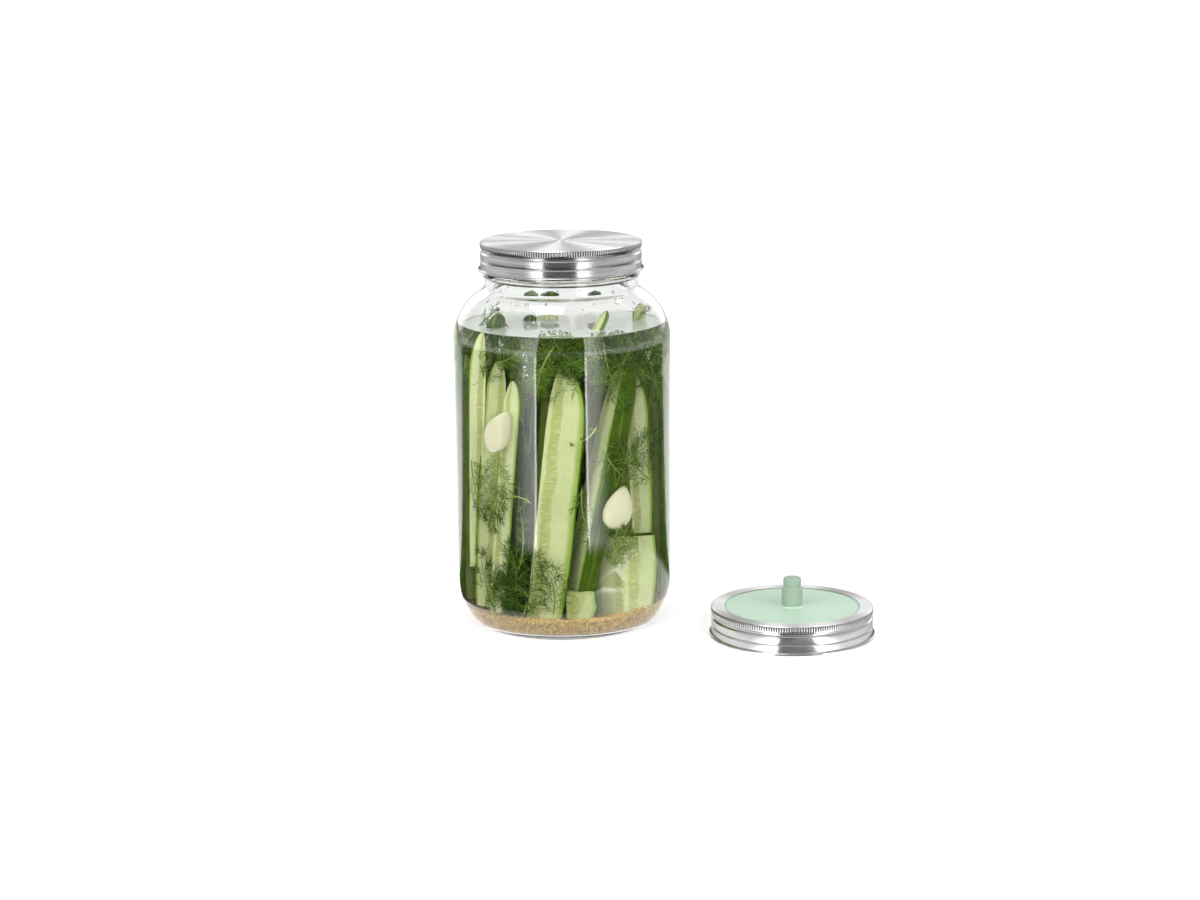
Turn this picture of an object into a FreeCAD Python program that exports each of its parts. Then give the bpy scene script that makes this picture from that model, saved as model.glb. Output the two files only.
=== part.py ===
"""Fermentation jar: a glass jar of pickling brine under its storage lid, with its fermentation lid lying beside it.

Millimetres, +Z up. The origin is on the jar's axis, in the plane that the jar and the loose lid stand on.
Every piece but the seed bed's top and the knurls is a revolved outline, drawn in the XZ half plane.
"""
import FreeCAD
import Part
import math
import os

# --- Glass jar ---------------------------------------------------------------------------
BODY_RADIUS = 74.5
WALL = 3.6
BASE_THICKNESS = 5.0
HEEL_HEIGHT = 40.0
HEEL_WIDTH = 16.5
BEARING_WIDTH = 5.0
PUNT_HEIGHT = 4.0
FLOOR_RISE = 3.2
SHOULDER_START = 198.0
SHOULDER_RADIUS = 40.0
NECK_RADIUS = 52.5
NECK_FILLET = 4.0
NECK_HEIGHT = 29.1
NECK_BEAD_RISE = 4.6
NECK_BEAD_HEIGHT = 4.0
NECK_BEAD_DEPTH = 1.2
RIM_ROUND = 1.0

# --- Filling -----------------------------------------------------------------------------
BRINE_ABOVE_SHOULDER = 11.0
SEED_DEPTH = 11.0
SEED_TILT = 0.03
SEED_WAVE = 1.5
SEED_WAVE_LENGTH = 96.0
SEED_HOLLOW = 3.0

# --- Pressed steel lids ------------------------------------------------------------------
SHEET = 0.5
SKIRT_CLEARANCE = 2.1
LID_HEIGHT = 19.8
TOP_BEND = 0.5
BEND = 0.8
KNURL_TEETH = 200
KNURL_DEPTH = 0.4
KNURL_ROOT = 0.04
KNURL_DROP = 0.6
KNURL_HEIGHT = 3.8
KNURL_TOP_BEVEL = 0.4
KNURL_TAPER = 1.2
GROOVE_DEPTH = 1.1
GROOVE_HEIGHT = 1.4
RIB_HEIGHT = 4.2
CREASE_DEPTH = 0.7
RAMP = 0.9
FLARE = 0.5
FLARE_HEIGHT = 1.0
CURL_RADIUS = 0.9
CURL_SWEEP = 265.0

# --- Fermentation lid --------------------------------------------------------------------
OPENING_RADIUS = 46.3
DISC_THICKNESS = 2.0
DISC_CLEARANCE = 0.3
DISC_ROUND = 0.5
DISC_RIM_WIDTH = 6.0
VALVE_RADIUS = 7.2
VALVE_STEM_HEIGHT = 12.8
VALVE_SHOULDER = 1.1
VALVE_WAIST_HEIGHT = 1.3
VALVE_WAIST_DEPTH = 0.35
VALVE_HEAD_HEIGHT = 4.9
VALVE_FILLET = 1.4
VALVE_TOP_ROUND = 1.0
VALVE_BORE_RADIUS = 3.6
VALVE_ROOF = 2.4
LOOSE_LID_GAP = 31.0
LOOSE_LID_TURN = -17.45

# --- Sizes that follow from the ones above -----------------------------------------------
SHOULDER_CENTRE_RADIUS = BODY_RADIUS - SHOULDER_RADIUS
FILLET_CENTRE_RADIUS = NECK_RADIUS + NECK_FILLET
SHOULDER_SWEEP = math.degrees(
    math.acos((FILLET_CENTRE_RADIUS - SHOULDER_CENTRE_RADIUS) / (SHOULDER_RADIUS + NECK_FILLET))
)
NECK_START = SHOULDER_START + (SHOULDER_RADIUS + NECK_FILLET) * math.sin(math.radians(SHOULDER_SWEEP))
MOUTH_HEIGHT = NECK_START + NECK_HEIGHT
CAVITY_RADIUS = BODY_RADIUS - WALL
BORE_RADIUS = NECK_RADIUS - WALL
BEARING_RADIUS = BODY_RADIUS - HEEL_WIDTH
FLOOR_RADIUS = BEARING_RADIUS - WALL / 2
FLOOR_CROWN = BASE_THICKNESS + FLOOR_RISE
BRINE_LEVEL = SHOULDER_START + BRINE_ABOVE_SHOULDER
SKIRT_RADIUS = NECK_RADIUS + SKIRT_CLEARANCE
KNURL_LOW = LID_HEIGHT - KNURL_DROP - KNURL_HEIGHT
CURL_CENTRE_RADIUS = SKIRT_RADIUS + FLARE + CURL_RADIUS
HEM_RADIUS = CURL_CENTRE_RADIUS + CURL_RADIUS
FLANGE_UNDERSIDE = LID_HEIGHT - SHEET


def point(radius, height):
    """A point of an outline, in the XZ half plane."""
    return FreeCAD.Vector(radius, 0, height)


def line(start, end):
    return Part.LineSegment(start, end).toShape()


def arc(centre, radius, start_degrees, end_degrees):
    """An arc about a centre, with angles counted from +X towards +Z."""
    places = []
    for share in (0.0, 0.5, 1.0):
        angle = math.radians(start_degrees + (end_degrees - start_degrees) * share)
        places.append(centre + point(math.cos(angle), math.sin(angle)) * radius)
    return Part.Arc(*places).toShape()


def dome(radius, edge_height, crown_height):
    """Half outline of a shallow dome: from its crown on the axis down to its edge, square to the axis."""
    rise = crown_height - edge_height
    sphere = (radius * radius + rise * rise) / (2 * rise)
    half_turn = math.degrees(math.asin(radius / sphere))
    return arc(point(0, crown_height - sphere), sphere, 90, 90 - half_turn)


def heel(centre, width, height):
    """Quarter of an ellipse, from straight below its centre to straight outside it."""
    low = centre - point(0, height)
    side = centre + point(width, 0)
    ellipse = Part.Ellipse(*((low, side) if height > width else (side, low)), centre)
    start = ellipse.parameter(low)
    end = ellipse.parameter(side)
    if end < start:
        end += 2 * math.pi
    return Part.ArcOfEllipse(ellipse, start, end).toShape()


def rounded(corners, radii):
    """Straight edges through the corners, each inner corner turned by an arc of its radius, or sharp at 0."""
    edges = []
    start = corners[0]
    for before, corner, after, radius in zip(corners, corners[1:], corners[2:], radii):
        if not radius:
            edges.append(line(start, corner))
            start = corner
            continue
        arriving = (corner - before).normalize()
        leaving = (after - corner).normalize()
        half_turn = arriving.getAngle(leaving) / 2
        reach = radius * math.tan(half_turn)
        first = corner - arriving * reach
        last = corner + leaving * reach
        inward = (leaving - arriving).normalize()
        middle = corner + inward * (radius / math.cos(half_turn) - radius)
        edges.append(line(start, first))
        edges.append(Part.Arc(first, middle, last).toShape())
        start = last
    edges.append(line(start, corners[-1]))
    return edges


def flat_face(*corners):
    return Part.Face(Part.makePolygon(list(corners) + [corners[0]]))


def revolve(edges):
    """Solid of revolution of a closed outline."""
    return turn(Part.Face(Part.Wire(Part.__sortEdges__(edges))))


def turn(face):
    return face.revolve(FreeCAD.Vector(0, 0, 0), FreeCAD.Vector(0, 0, 1), 360)


# --- Glass jar ---------------------------------------------------------------------------
def jar_side(inset, foot_radius, foot_height):
    """The jar's side from its foot up to its neck, drawn this far inside the outer face."""
    radius = BODY_RADIUS - inset
    shoulder_centre = point(SHOULDER_CENTRE_RADIUS, SHOULDER_START)
    fillet_centre = point(FILLET_CENTRE_RADIUS, NECK_START)
    return [
        heel(point(foot_radius, HEEL_HEIGHT), radius - foot_radius, HEEL_HEIGHT - foot_height),
        line(point(radius, HEEL_HEIGHT), point(radius, SHOULDER_START)),
        arc(shoulder_centre, SHOULDER_RADIUS - inset, 0, SHOULDER_SWEEP),
        arc(fillet_centre, NECK_FILLET + inset, 180 + SHOULDER_SWEEP, 180),
    ]


def neck_outside():
    """The outer face of the neck, with the bead that the lid comes down to."""
    bead_low = NECK_START + NECK_BEAD_RISE
    bead_middle = bead_low + NECK_BEAD_HEIGHT / 2
    bead_high = bead_low + NECK_BEAD_HEIGHT
    bead = Part.Arc(
        point(NECK_RADIUS, bead_low),
        point(NECK_RADIUS + NECK_BEAD_DEPTH, bead_middle),
        point(NECK_RADIUS, bead_high),
    )
    return [
        line(point(NECK_RADIUS, NECK_START), point(NECK_RADIUS, bead_low)),
        bead.toShape(),
        line(point(NECK_RADIUS, bead_high), point(NECK_RADIUS, MOUTH_HEIGHT - RIM_ROUND)),
    ]


def rim():
    """The fire-polished rim, and the bore below it."""
    round_height = MOUTH_HEIGHT - RIM_ROUND
    outer_radius = NECK_RADIUS - RIM_ROUND
    inner_radius = BORE_RADIUS + RIM_ROUND
    return [
        arc(point(outer_radius, round_height), RIM_ROUND, 0, 90),
        line(point(outer_radius, MOUTH_HEIGHT), point(inner_radius, MOUTH_HEIGHT)),
        arc(point(inner_radius, round_height), RIM_ROUND, 90, 180),
        line(point(BORE_RADIUS, round_height), point(BORE_RADIUS, NECK_START)),
    ]


def glass_jar():
    """The jar: it bears on a ring round a punt, and its wall keeps one thickness up to the neck."""
    punt_radius = BEARING_RADIUS - BEARING_WIDTH
    base = [
        dome(punt_radius, 0, PUNT_HEIGHT),
        line(point(punt_radius, 0), point(BEARING_RADIUS, 0)),
        dome(FLOOR_RADIUS, BASE_THICKNESS, FLOOR_CROWN),
        line(point(0, PUNT_HEIGHT), point(0, FLOOR_CROWN)),
    ]
    outside = jar_side(0, BEARING_RADIUS, 0) + neck_outside()
    inside = jar_side(WALL, FLOOR_RADIUS, BASE_THICKNESS)
    return revolve(base + outside + rim() + inside)


# --- Filling -----------------------------------------------------------------------------
def cavity():
    """The inside of the jar up to the plane of its mouth."""
    top = [
        line(point(BORE_RADIUS, NECK_START), point(BORE_RADIUS, MOUTH_HEIGHT)),
        line(point(BORE_RADIUS, MOUTH_HEIGHT), point(0, MOUTH_HEIGHT)),
    ]
    base = [
        line(point(0, MOUTH_HEIGHT), point(0, FLOOR_CROWN)),
        dome(FLOOR_RADIUS, BASE_THICKNESS, FLOOR_CROWN),
    ]
    return revolve(base + jar_side(WALL, FLOOR_RADIUS, BASE_THICKNESS) + top)


def seed_height(x, y):
    """Top of the seed bed at a place: a slight tilt, long waves, and a hollow where the spears stand."""
    phase = 2 * math.pi / SEED_WAVE_LENGTH
    wave = SEED_WAVE * math.sin(x * phase + 0.6) * math.cos(y * phase - 0.4)
    hollow = SEED_HOLLOW * math.exp(-(x * x + y * y) / (CAVITY_RADIUS / 2) ** 2)
    return BASE_THICKNESS + SEED_DEPTH + SEED_TILT * x + wave - hollow


def below_seed_top(steps=11):
    """Everything below the seed bed's uneven top."""
    reach = BODY_RADIUS
    stations = [reach * (2 * step / (steps - 1) - 1) for step in range(steps)]
    heights = [[FreeCAD.Vector(x, y, seed_height(x, y)) for y in stations] for x in stations]
    top = Part.BSplineSurface()
    top.interpolate(heights)
    return top.toShape().extrude(FreeCAD.Vector(0, 0, -2 * (BASE_THICKNESS + SEED_DEPTH)))


def seeds_and_brine():
    """The bed of mustard seed on the jar's floor, and the brine from there up to its level."""
    corner = FreeCAD.Vector(-BODY_RADIUS, -BODY_RADIUS, 0)
    below_level = Part.makeBox(2 * BODY_RADIUS, 2 * BODY_RADIUS, BRINE_LEVEL, corner)
    filling = cavity().common(below_level)
    seed_room = below_seed_top()
    return filling.common(seed_room), filling.cut(seed_room)


# --- Pressed steel lids ------------------------------------------------------------------
def skirt_corners():
    """Corners of a skirt's inner face, from the lid's top edge down to where its curl starts."""
    groove_radius = SKIRT_RADIUS - GROOVE_DEPTH
    crease_radius = SKIRT_RADIUS - CREASE_DEPTH
    groove_high = KNURL_LOW - RAMP
    groove_low = groove_high - GROOVE_HEIGHT
    rib_high = groove_low - RAMP
    rib_low = rib_high - RIB_HEIGHT
    crease = rib_low - RAMP
    return [
        point(SKIRT_RADIUS, FLANGE_UNDERSIDE),
        point(SKIRT_RADIUS, KNURL_LOW),
        point(groove_radius, groove_high),
        point(groove_radius, groove_low),
        point(SKIRT_RADIUS, rib_high),
        point(SKIRT_RADIUS, rib_low),
        point(crease_radius, crease),
        point(SKIRT_RADIUS, crease - RAMP),
        point(SKIRT_RADIUS, CURL_RADIUS + FLARE_HEIGHT),
        point(SKIRT_RADIUS + FLARE, CURL_RADIUS),
    ]


def pressed_sheet(opening_radius):
    """Section of a lid from its opening, or its axis, out over the top and down the skirt to the rolled hem."""
    corners = [point(opening_radius, FLANGE_UNDERSIDE)] + skirt_corners()
    radii = [TOP_BEND] + [BEND] * (len(corners) - 3)
    curl = arc(point(CURL_CENTRE_RADIUS, CURL_RADIUS), CURL_RADIUS, 180, 180 + CURL_SWEEP)
    path = Part.Wire(rounded(corners, radii) + [curl])
    return path.makeOffset2D(SHEET, join=0, fill=True, openResult=True)


def knurl():
    """Ring of straight teeth round a lid's top edge, each with a long taper at its lower end."""
    root_radius = SKIRT_RADIUS + SHEET + KNURL_ROOT
    tip_radius = root_radius + KNURL_DEPTH
    knurl_high = KNURL_LOW + KNURL_HEIGHT

    def corner(radius, half_teeth, height):
        angle = math.pi * half_teeth / KNURL_TEETH
        return FreeCAD.Vector(radius * math.cos(angle), radius * math.sin(angle), height)

    faces = []
    for step in range(0, 2 * KNURL_TEETH, 2):
        low, next_low = (corner(root_radius, side, KNURL_LOW) for side in (step, step + 2))
        high, next_high = (corner(root_radius, side, knurl_high) for side in (step, step + 2))
        tip_low = corner(tip_radius, step + 1, KNURL_LOW + KNURL_TAPER)
        tip_high = corner(tip_radius, step + 1, knurl_high - KNURL_TOP_BEVEL)
        faces.append(flat_face(low, next_low, tip_low))
        faces.append(flat_face(low, tip_low, tip_high, high))
        faces.append(flat_face(next_low, next_high, tip_high, tip_low))
        faces.append(flat_face(high, tip_high, next_high))
    bore = Part.makeCylinder(SKIRT_RADIUS + SHEET / 2, KNURL_HEIGHT, point(0, KNURL_LOW))
    for height in (KNURL_LOW, knurl_high):
        faces.append(flat_face(*(corner(root_radius, 2 * tooth, height) for tooth in range(KNURL_TEETH))))
    return Part.Solid(Part.Shell(faces)).cut(bore)


def pressed_lid(opening_radius):
    """A lid pressed from sheet, standing on its hem: closed, or a screw band with an opening."""
    return turn(pressed_sheet(opening_radius)).fuse(knurl())


# --- Fermentation lid --------------------------------------------------------------------
def valve_lid():
    """Silicone disc that fills a band's opening from below, with its gas valve moulded in the middle."""
    disc_radius = SKIRT_RADIUS - DISC_CLEARANCE
    disc_low = FLANGE_UNDERSIDE - DISC_THICKNESS
    rim_low = KNURL_LOW + DISC_CLEARANCE
    rim_inner_radius = disc_radius - DISC_RIM_WIDTH
    head_radius = VALVE_RADIUS - VALVE_SHOULDER
    waist_radius = head_radius - VALVE_WAIST_DEPTH
    stem_high = FLANGE_UNDERSIDE + VALVE_STEM_HEIGHT
    waist_low = stem_high + VALVE_SHOULDER
    waist_high = waist_low + VALVE_WAIST_HEIGHT
    valve_high = waist_high + VALVE_HEAD_HEIGHT
    bore_high = valve_high - VALVE_ROOF
    corners_and_radii = [
        (point(0, valve_high), 0),
        (point(head_radius, valve_high), VALVE_TOP_ROUND),
        (point(head_radius, waist_high), 0),
        (point(waist_radius, waist_high - VALVE_WAIST_DEPTH), 0),
        (point(waist_radius, waist_low), 0),
        (point(VALVE_RADIUS, stem_high), 0),
        (point(VALVE_RADIUS, FLANGE_UNDERSIDE), VALVE_FILLET),
        (point(disc_radius, FLANGE_UNDERSIDE), DISC_ROUND),
        (point(disc_radius, rim_low), DISC_ROUND),
        (point(rim_inner_radius, rim_low), 0),
        (point(rim_inner_radius, disc_low), 0),
        (point(VALVE_BORE_RADIUS, disc_low), 0),
        (point(VALVE_BORE_RADIUS, bore_high), 0),
        (point(0, bore_high), 0),
    ]
    corners = [corner for corner, _ in corners_and_radii]
    radii = [radius for _, radius in corners_and_radii[1:-1]]
    axis = line(corners[-1], corners[0])
    return revolve(rounded(corners, radii) + [axis])


# --- The whole ---------------------------------------------------------------------------
def moved(shape, x, y, z):
    shape.translate(FreeCAD.Vector(x, y, z))
    return shape


def pieces():
    """Every piece in its place, by the name of its node."""
    seeds, brine = seeds_and_brine()
    lid_foot = MOUTH_HEIGHT - FLANGE_UNDERSIDE
    turned = math.radians(LOOSE_LID_TURN)
    distance = BODY_RADIUS + LOOSE_LID_GAP + HEM_RADIUS
    loose_place = (distance * math.cos(turned), distance * math.sin(turned), 0)
    return {
        "glass_jar": glass_jar(),
        "mustard_seed_bed": seeds,
        "brine": brine,
        "storage_lid": moved(pressed_lid(0), 0, 0, lid_foot),
        "ferment_band": moved(pressed_lid(OPENING_RADIUS), *loose_place),
        "ferment_valve_lid": moved(valve_lid(), *loose_place),
    }


if __name__ == "__main__":
    os.makedirs("parts", exist_ok=True)
    for node, shape in pieces().items():
        shape.exportStep(f"parts/{node}.step")
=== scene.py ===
"""A fermentation jar: cucumber spears in brine under a pressed steel lid, with the fermentation lid beside it.

Sizes in the classes are millimetres in the part's own frame. Shell.build turns them into metres, so every object sits
at the origin with its place in its mesh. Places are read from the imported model's boxes.
"""
import logging
import math
from dataclasses import dataclass, fields, replace
from enum import Enum
from typing import Any, Callable, Optional, Sequence

import bpy
import numpy as np
from mathutils import Matrix, Vector


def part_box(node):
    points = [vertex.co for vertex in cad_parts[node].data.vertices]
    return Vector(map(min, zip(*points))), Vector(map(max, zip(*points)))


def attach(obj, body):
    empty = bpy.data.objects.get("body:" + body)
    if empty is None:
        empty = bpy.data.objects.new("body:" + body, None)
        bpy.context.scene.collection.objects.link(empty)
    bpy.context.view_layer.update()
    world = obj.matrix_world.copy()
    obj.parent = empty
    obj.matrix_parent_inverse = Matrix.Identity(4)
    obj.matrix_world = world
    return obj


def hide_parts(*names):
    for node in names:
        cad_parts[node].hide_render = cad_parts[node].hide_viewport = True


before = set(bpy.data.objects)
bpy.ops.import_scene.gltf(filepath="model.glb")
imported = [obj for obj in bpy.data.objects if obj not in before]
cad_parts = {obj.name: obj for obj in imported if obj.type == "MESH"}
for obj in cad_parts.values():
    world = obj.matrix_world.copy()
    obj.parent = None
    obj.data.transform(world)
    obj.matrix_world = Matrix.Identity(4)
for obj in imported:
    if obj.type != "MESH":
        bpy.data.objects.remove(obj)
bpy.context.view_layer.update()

LOG = logging.getLogger("fermentation_jar")
MM = 0.001
BODY = "root"
Array = np.ndarray
Relief = Callable[[Array, Array, Array], Array]
Limit = Callable[[Array], Array]
Pair = tuple[float, float]
Point = tuple[float, float, float]
Colour = tuple[float, float, float, float]
Material = bpy.types.Material
Socket = bpy.types.NodeSocket
WHITE: Colour = (1.0, 1.0, 1.0, 1.0)


# --- Small helpers ---
def unit(vectors: Array) -> Array:
    """The vectors, each over its own length."""
    return vectors / np.maximum(np.linalg.norm(vectors, axis=-1, keepdims=True), 1e-9)


def spot(radius: float, angle: float, height: float) -> Point:
    """The place at this radius and angle about the jar's axis, and at this height."""
    return radius * math.cos(angle), radius * math.sin(angle), height


def polar(radius: Array, angle: Array, height: Array) -> Array:
    """Places at these radii and angles about the axis, and at these heights: (r cos a, r sin a, z)."""
    return np.stack(np.broadcast_arrays(radius * np.cos(angle), radius * np.sin(angle), height), axis=-1)


def turns(count: int) -> Array:
    """Angles in even steps once round, from 0."""
    return np.linspace(0, 2 * math.pi, count, endpoint=False)


def linked(name: str, data: Any) -> bpy.types.Object:
    """A new object of this name in the scene, that holds the data."""
    made = bpy.data.objects.new(name, data)
    bpy.context.scene.collection.objects.link(made)
    return made


def box_mm(node: str) -> tuple[Array, Array]:
    """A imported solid's lowest and highest corner, in millimetres."""
    low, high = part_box(node)
    return np.array(low) / MM, np.array(high) / MM


# --- Surfaces ---
@dataclass
class Shell:
    """A closed surface as plain arrays, in millimetres.

    A face has four corners, with one repeated where it is a triangle. Each corner has a place on the UV map, each
    face a finish, which is the number of its material, and each point a tone from 0 to 1 that materials may read.
    """

    points: Array
    faces: Array
    uv: Array
    finish: Array
    tone: Array

    @classmethod
    def grid(
        cls,
        points: Array,
        wrap_rows: bool = False,
        wrap_columns: bool = True,
        finish: Any = 0,
        tone: float = 0.5,
        uv: Optional[tuple[Array, Array]] = None,
    ) -> "Shell":
        """Joins a grid of points into faces: face (i, j) has corners (i, j), (i, j+1), (i+1, j+1) and (i+1, j).

        Args:
            points: rows x columns x 3 places.
            wrap_rows: whether the last row joins the first.
            wrap_columns: whether the last column joins the first.
            finish: material number, one for all faces or one for each column of faces.
            tone: tone of every point.
            uv: U and V of the grid's corners, with one more row or column where it wraps; even steps by default.

        Returns:
            The shell, its coinciding points not yet joined.
        """
        rows, columns = points.shape[:2]
        index = np.arange(rows * columns).reshape(rows, columns)
        if wrap_rows:
            index = np.vstack((index, index[:1]))
        if wrap_columns:
            index = np.column_stack((index, index[:, 0]))
        if uv is None:
            uv = np.meshgrid(np.linspace(0, 1, index.shape[1]), np.linspace(0, 1, index.shape[0]))
        u, v = (np.broadcast_to(part, index.shape) for part in uv)

        def corners(values: Array) -> Array:
            """The values at the four corners of every face."""
            around = (values[:-1, :-1], values[:-1, 1:], values[1:, 1:], values[1:, :-1])
            return np.stack(around, axis=-1).reshape(-1, 4)

        faces = corners(index)
        shape = (index.shape[0] - 1, index.shape[1] - 1)
        return cls(
            points.reshape(-1, 3).astype(float),
            faces,
            np.stack((corners(u), corners(v)), axis=-1),
            np.broadcast_to(finish, shape).reshape(-1).copy(),
            np.full(rows * columns, tone, float),
        )

    @classmethod
    def joined(cls, shells: Sequence["Shell"]) -> "Shell":
        """All the shells as one, each keeping its own points."""
        starts = np.cumsum([0] + [len(shell.points) for shell in shells[:-1]])
        moved = [replace(shell, faces=shell.faces + start) for shell, start in zip(shells, starts)]
        return cls(*(np.concatenate([getattr(shell, part.name) for shell in moved]) for part in fields(cls)))

    @classmethod
    def scattered(cls, base: "Shell", places: Array, frames: Array, tones: Array) -> "Shell":
        """Copies of a small shell: point = place + frame x base point.

        Args:
            base: the shell that is copied.
            places: n x 3 places.
            frames: n x 3 x 3 turns with their scale.
            tones: tone of each copy.

        Returns:
            One shell that holds every copy.
        """
        count, size = len(places), len(base.points)
        points = np.einsum("nij,bj->nbi", frames, base.points) + places[:, None, :]
        faces = base.faces[None] + (np.arange(count) * size)[:, None, None]
        return cls(
            points.reshape(-1, 3),
            faces.reshape(-1, 4),
            np.tile(base.uv, (count, 1, 1)),
            np.tile(base.finish, count),
            np.repeat(tones, size),
        )

    def closed(self) -> "Shell":
        """The shell with its seams and poles closed, facing outwards."""
        return self.welded().outward()

    def welded(self) -> "Shell":
        """The shell with its coinciding points joined, which closes seams and poles."""
        key = np.round(self.points, 5)
        _, first, index = np.unique(key, axis=0, return_index=True, return_inverse=True)
        return replace(self, points=self.points[first], tone=self.tone[first], faces=index.reshape(-1)[self.faces])

    def outward(self) -> "Shell":
        """The shell with its faces turned outwards, so that the sum of a.(b x c) over its triangles is positive."""
        a, b, c, d = (self.points[self.faces[:, corner]] for corner in range(4))
        volume = np.einsum("ij,ij->", a, np.cross(b, c)) + np.einsum("ij,ij->", a, np.cross(c, d))
        if volume >= 0:
            return self
        return replace(self, faces=self.faces[:, ::-1].copy(), uv=self.uv[:, ::-1].copy())

    def kept_inside(self, limit: Limit) -> "Shell":
        """The shell pulled in where it is too wide.

        Args:
            limit: the largest radius at each height.

        Returns:
            The shell, with each point's radius no larger than that.
        """
        radius = np.hypot(self.points[:, 0], self.points[:, 1])
        share = np.minimum(1, limit(self.points[:, 2]) / np.maximum(radius, 1e-6))
        points = self.points.copy()
        points[:, :2] *= share[:, None]
        return replace(self, points=points)

    def build(self, name: str, finishes: Sequence[Material], sharp: float = 40) -> bpy.types.Object:
        """Makes the Blender object, in metres.

        Args:
            name: the object's name.
            finishes: its materials, in the order of the faces' numbers.
            sharp: edges that turn by more than this many degrees stay sharp.

        Returns:
            The object, linked to the scene.
        """
        keep = self.faces != np.roll(self.faces, -1, axis=1)
        whole = keep.sum(axis=1) >= 3
        keep &= whole[:, None]
        sizes = keep.sum(axis=1)[whole]
        corners = self.faces[keep]
        mesh = bpy.data.meshes.new(name)
        mesh.vertices.add(len(self.points))
        mesh.vertices.foreach_set("co", (self.points * MM).astype(np.float32).ravel())
        mesh.loops.add(len(corners))
        mesh.loops.foreach_set("vertex_index", corners.astype(np.int32))
        mesh.polygons.add(len(sizes))
        mesh.polygons.foreach_set("loop_start", (np.cumsum(sizes) - sizes).astype(np.int32))
        mesh.polygons.foreach_set("material_index", self.finish[whole].astype(np.int32))
        mesh.update(calc_edges=True)
        mesh.uv_layers.new(name="UVMap").data.foreach_set("uv", self.uv[keep].astype(np.float32).ravel())
        mesh.attributes.new("tone", "FLOAT", "POINT").data.foreach_set("value", self.tone.astype(np.float32))
        for finish in finishes:
            mesh.materials.append(finish)
        mesh.shade_smooth()
        mesh.set_sharp_from_angle(angle=math.radians(sharp))
        mesh.validate()
        return linked(name, mesh)


def arc_points(centre: Sequence[float], radii: Sequence[float], start: float, end: float, count: int) -> Array:
    """Points of an ellipse arc: (cx + rx cos a, cz + rz sin a), with a in even steps from start to end degrees."""
    angle = np.radians(np.linspace(start, end, count))
    return np.column_stack((centre[0] + radii[0] * np.cos(angle), centre[1] + radii[1] * np.sin(angle)))


def line_points(start: Sequence[float], end: Sequence[float], count: int) -> Array:
    """Points in even steps from start to end, without the first and the last."""
    share = np.linspace(0, 1, count + 2)[1:-1, None]
    return (1 - share) * np.array(start, float) + share * np.array(end, float)


def dome_points(radius: float, edge: float, crown: float, count: int) -> Array:
    """Outline of a shallow dome: z = crown - S + sqrt(S^2 - r^2), with S the radius of its sphere.

    Args:
        radius: radius of its edge.
        edge: height of its edge.
        crown: height of its middle.
        count: number of points.

    Returns:
        The points from the crown to the edge.
    """
    rise = crown - edge
    sphere = (radius**2 + rise**2) / (2 * rise)
    r = np.linspace(0, radius, count)
    return np.column_stack((r, crown - sphere + np.sqrt(sphere**2 - r**2)))


def rounded_path(corners: Sequence[Sequence[float]], radii: Sequence[float], count: int = 6) -> Array:
    """A path through the corners, each inner one turned by an arc that starts radius x tan(turn / 2) before it.

    Args:
        corners: the path's corners.
        radii: radius of each inner corner, 0 for a sharp one.
        count: points on each arc.

    Returns:
        The path's points.
    """
    places = np.array(corners, float)
    path = [places[:1]]
    for before, corner, after, radius in zip(places, places[1:], places[2:], radii):
        arriving, leaving = unit(corner - before), unit(after - corner)
        cross = arriving[0] * leaving[1] - arriving[1] * leaving[0]
        turn = math.atan2(cross, float(arriving @ leaving))
        if radius == 0 or abs(turn) < 1e-6:
            path.append(corner[None])
            continue
        side = math.copysign(1, turn)
        first = corner - arriving * radius * math.tan(abs(turn) / 2)
        centre = first + side * radius * np.array((-arriving[1], arriving[0]))
        start = math.degrees(math.atan2(*(first - centre)[::-1]))
        path.append(arc_points(centre, (radius, radius), start, start + math.degrees(turn), count))
    return np.concatenate(path + [places[-1:]])


def offset_path(path: Array, distance: float) -> Array:
    """The path moved to its left, each point along the mean of its edges' normals over the cosine of half the turn.

    Args:
        path: the path's points.
        distance: how far it moves.

    Returns:
        The moved path's points.
    """
    edge = np.diff(path, axis=0)
    normal = unit(np.column_stack((-edge[:, 1], edge[:, 0])))
    after = np.vstack((normal, normal[-1:]))
    mean = unit(np.vstack((normal[:1], normal)) + after)
    return path + distance * mean / np.einsum("ij,ij->i", mean, after)[:, None]


def lathe(profile: Array, segments: int, relief: Optional[Relief] = None, finish: Any = 0) -> Shell:
    """Turns an outline about Z: point = (r cos a, r sin a, z), with r grown by relief(a, r, z).

    Args:
        profile: the outline. It starts and ends on the axis, or it is closed on itself.
        segments: steps round the axis.
        relief: height of what stands out of the surface.
        finish: material number, for all faces or for the row of faces that starts at each point.

    Returns:
        The closed shell, facing outwards.
    """
    angle = turns(segments)[None, :]
    radius = np.repeat(profile[:, :1], segments, axis=1)
    height = np.repeat(profile[:, 1:], segments, axis=1)
    if relief is not None:
        radius = radius + relief(angle, radius, height)
    on_axis = profile[0, 0] == 0
    rows = finish if np.isscalar(finish) else np.asarray(finish)[:len(profile) - int(on_axis), None]
    return Shell.grid(polar(radius, angle, height), wrap_rows=not on_axis, finish=rows).closed()


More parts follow.
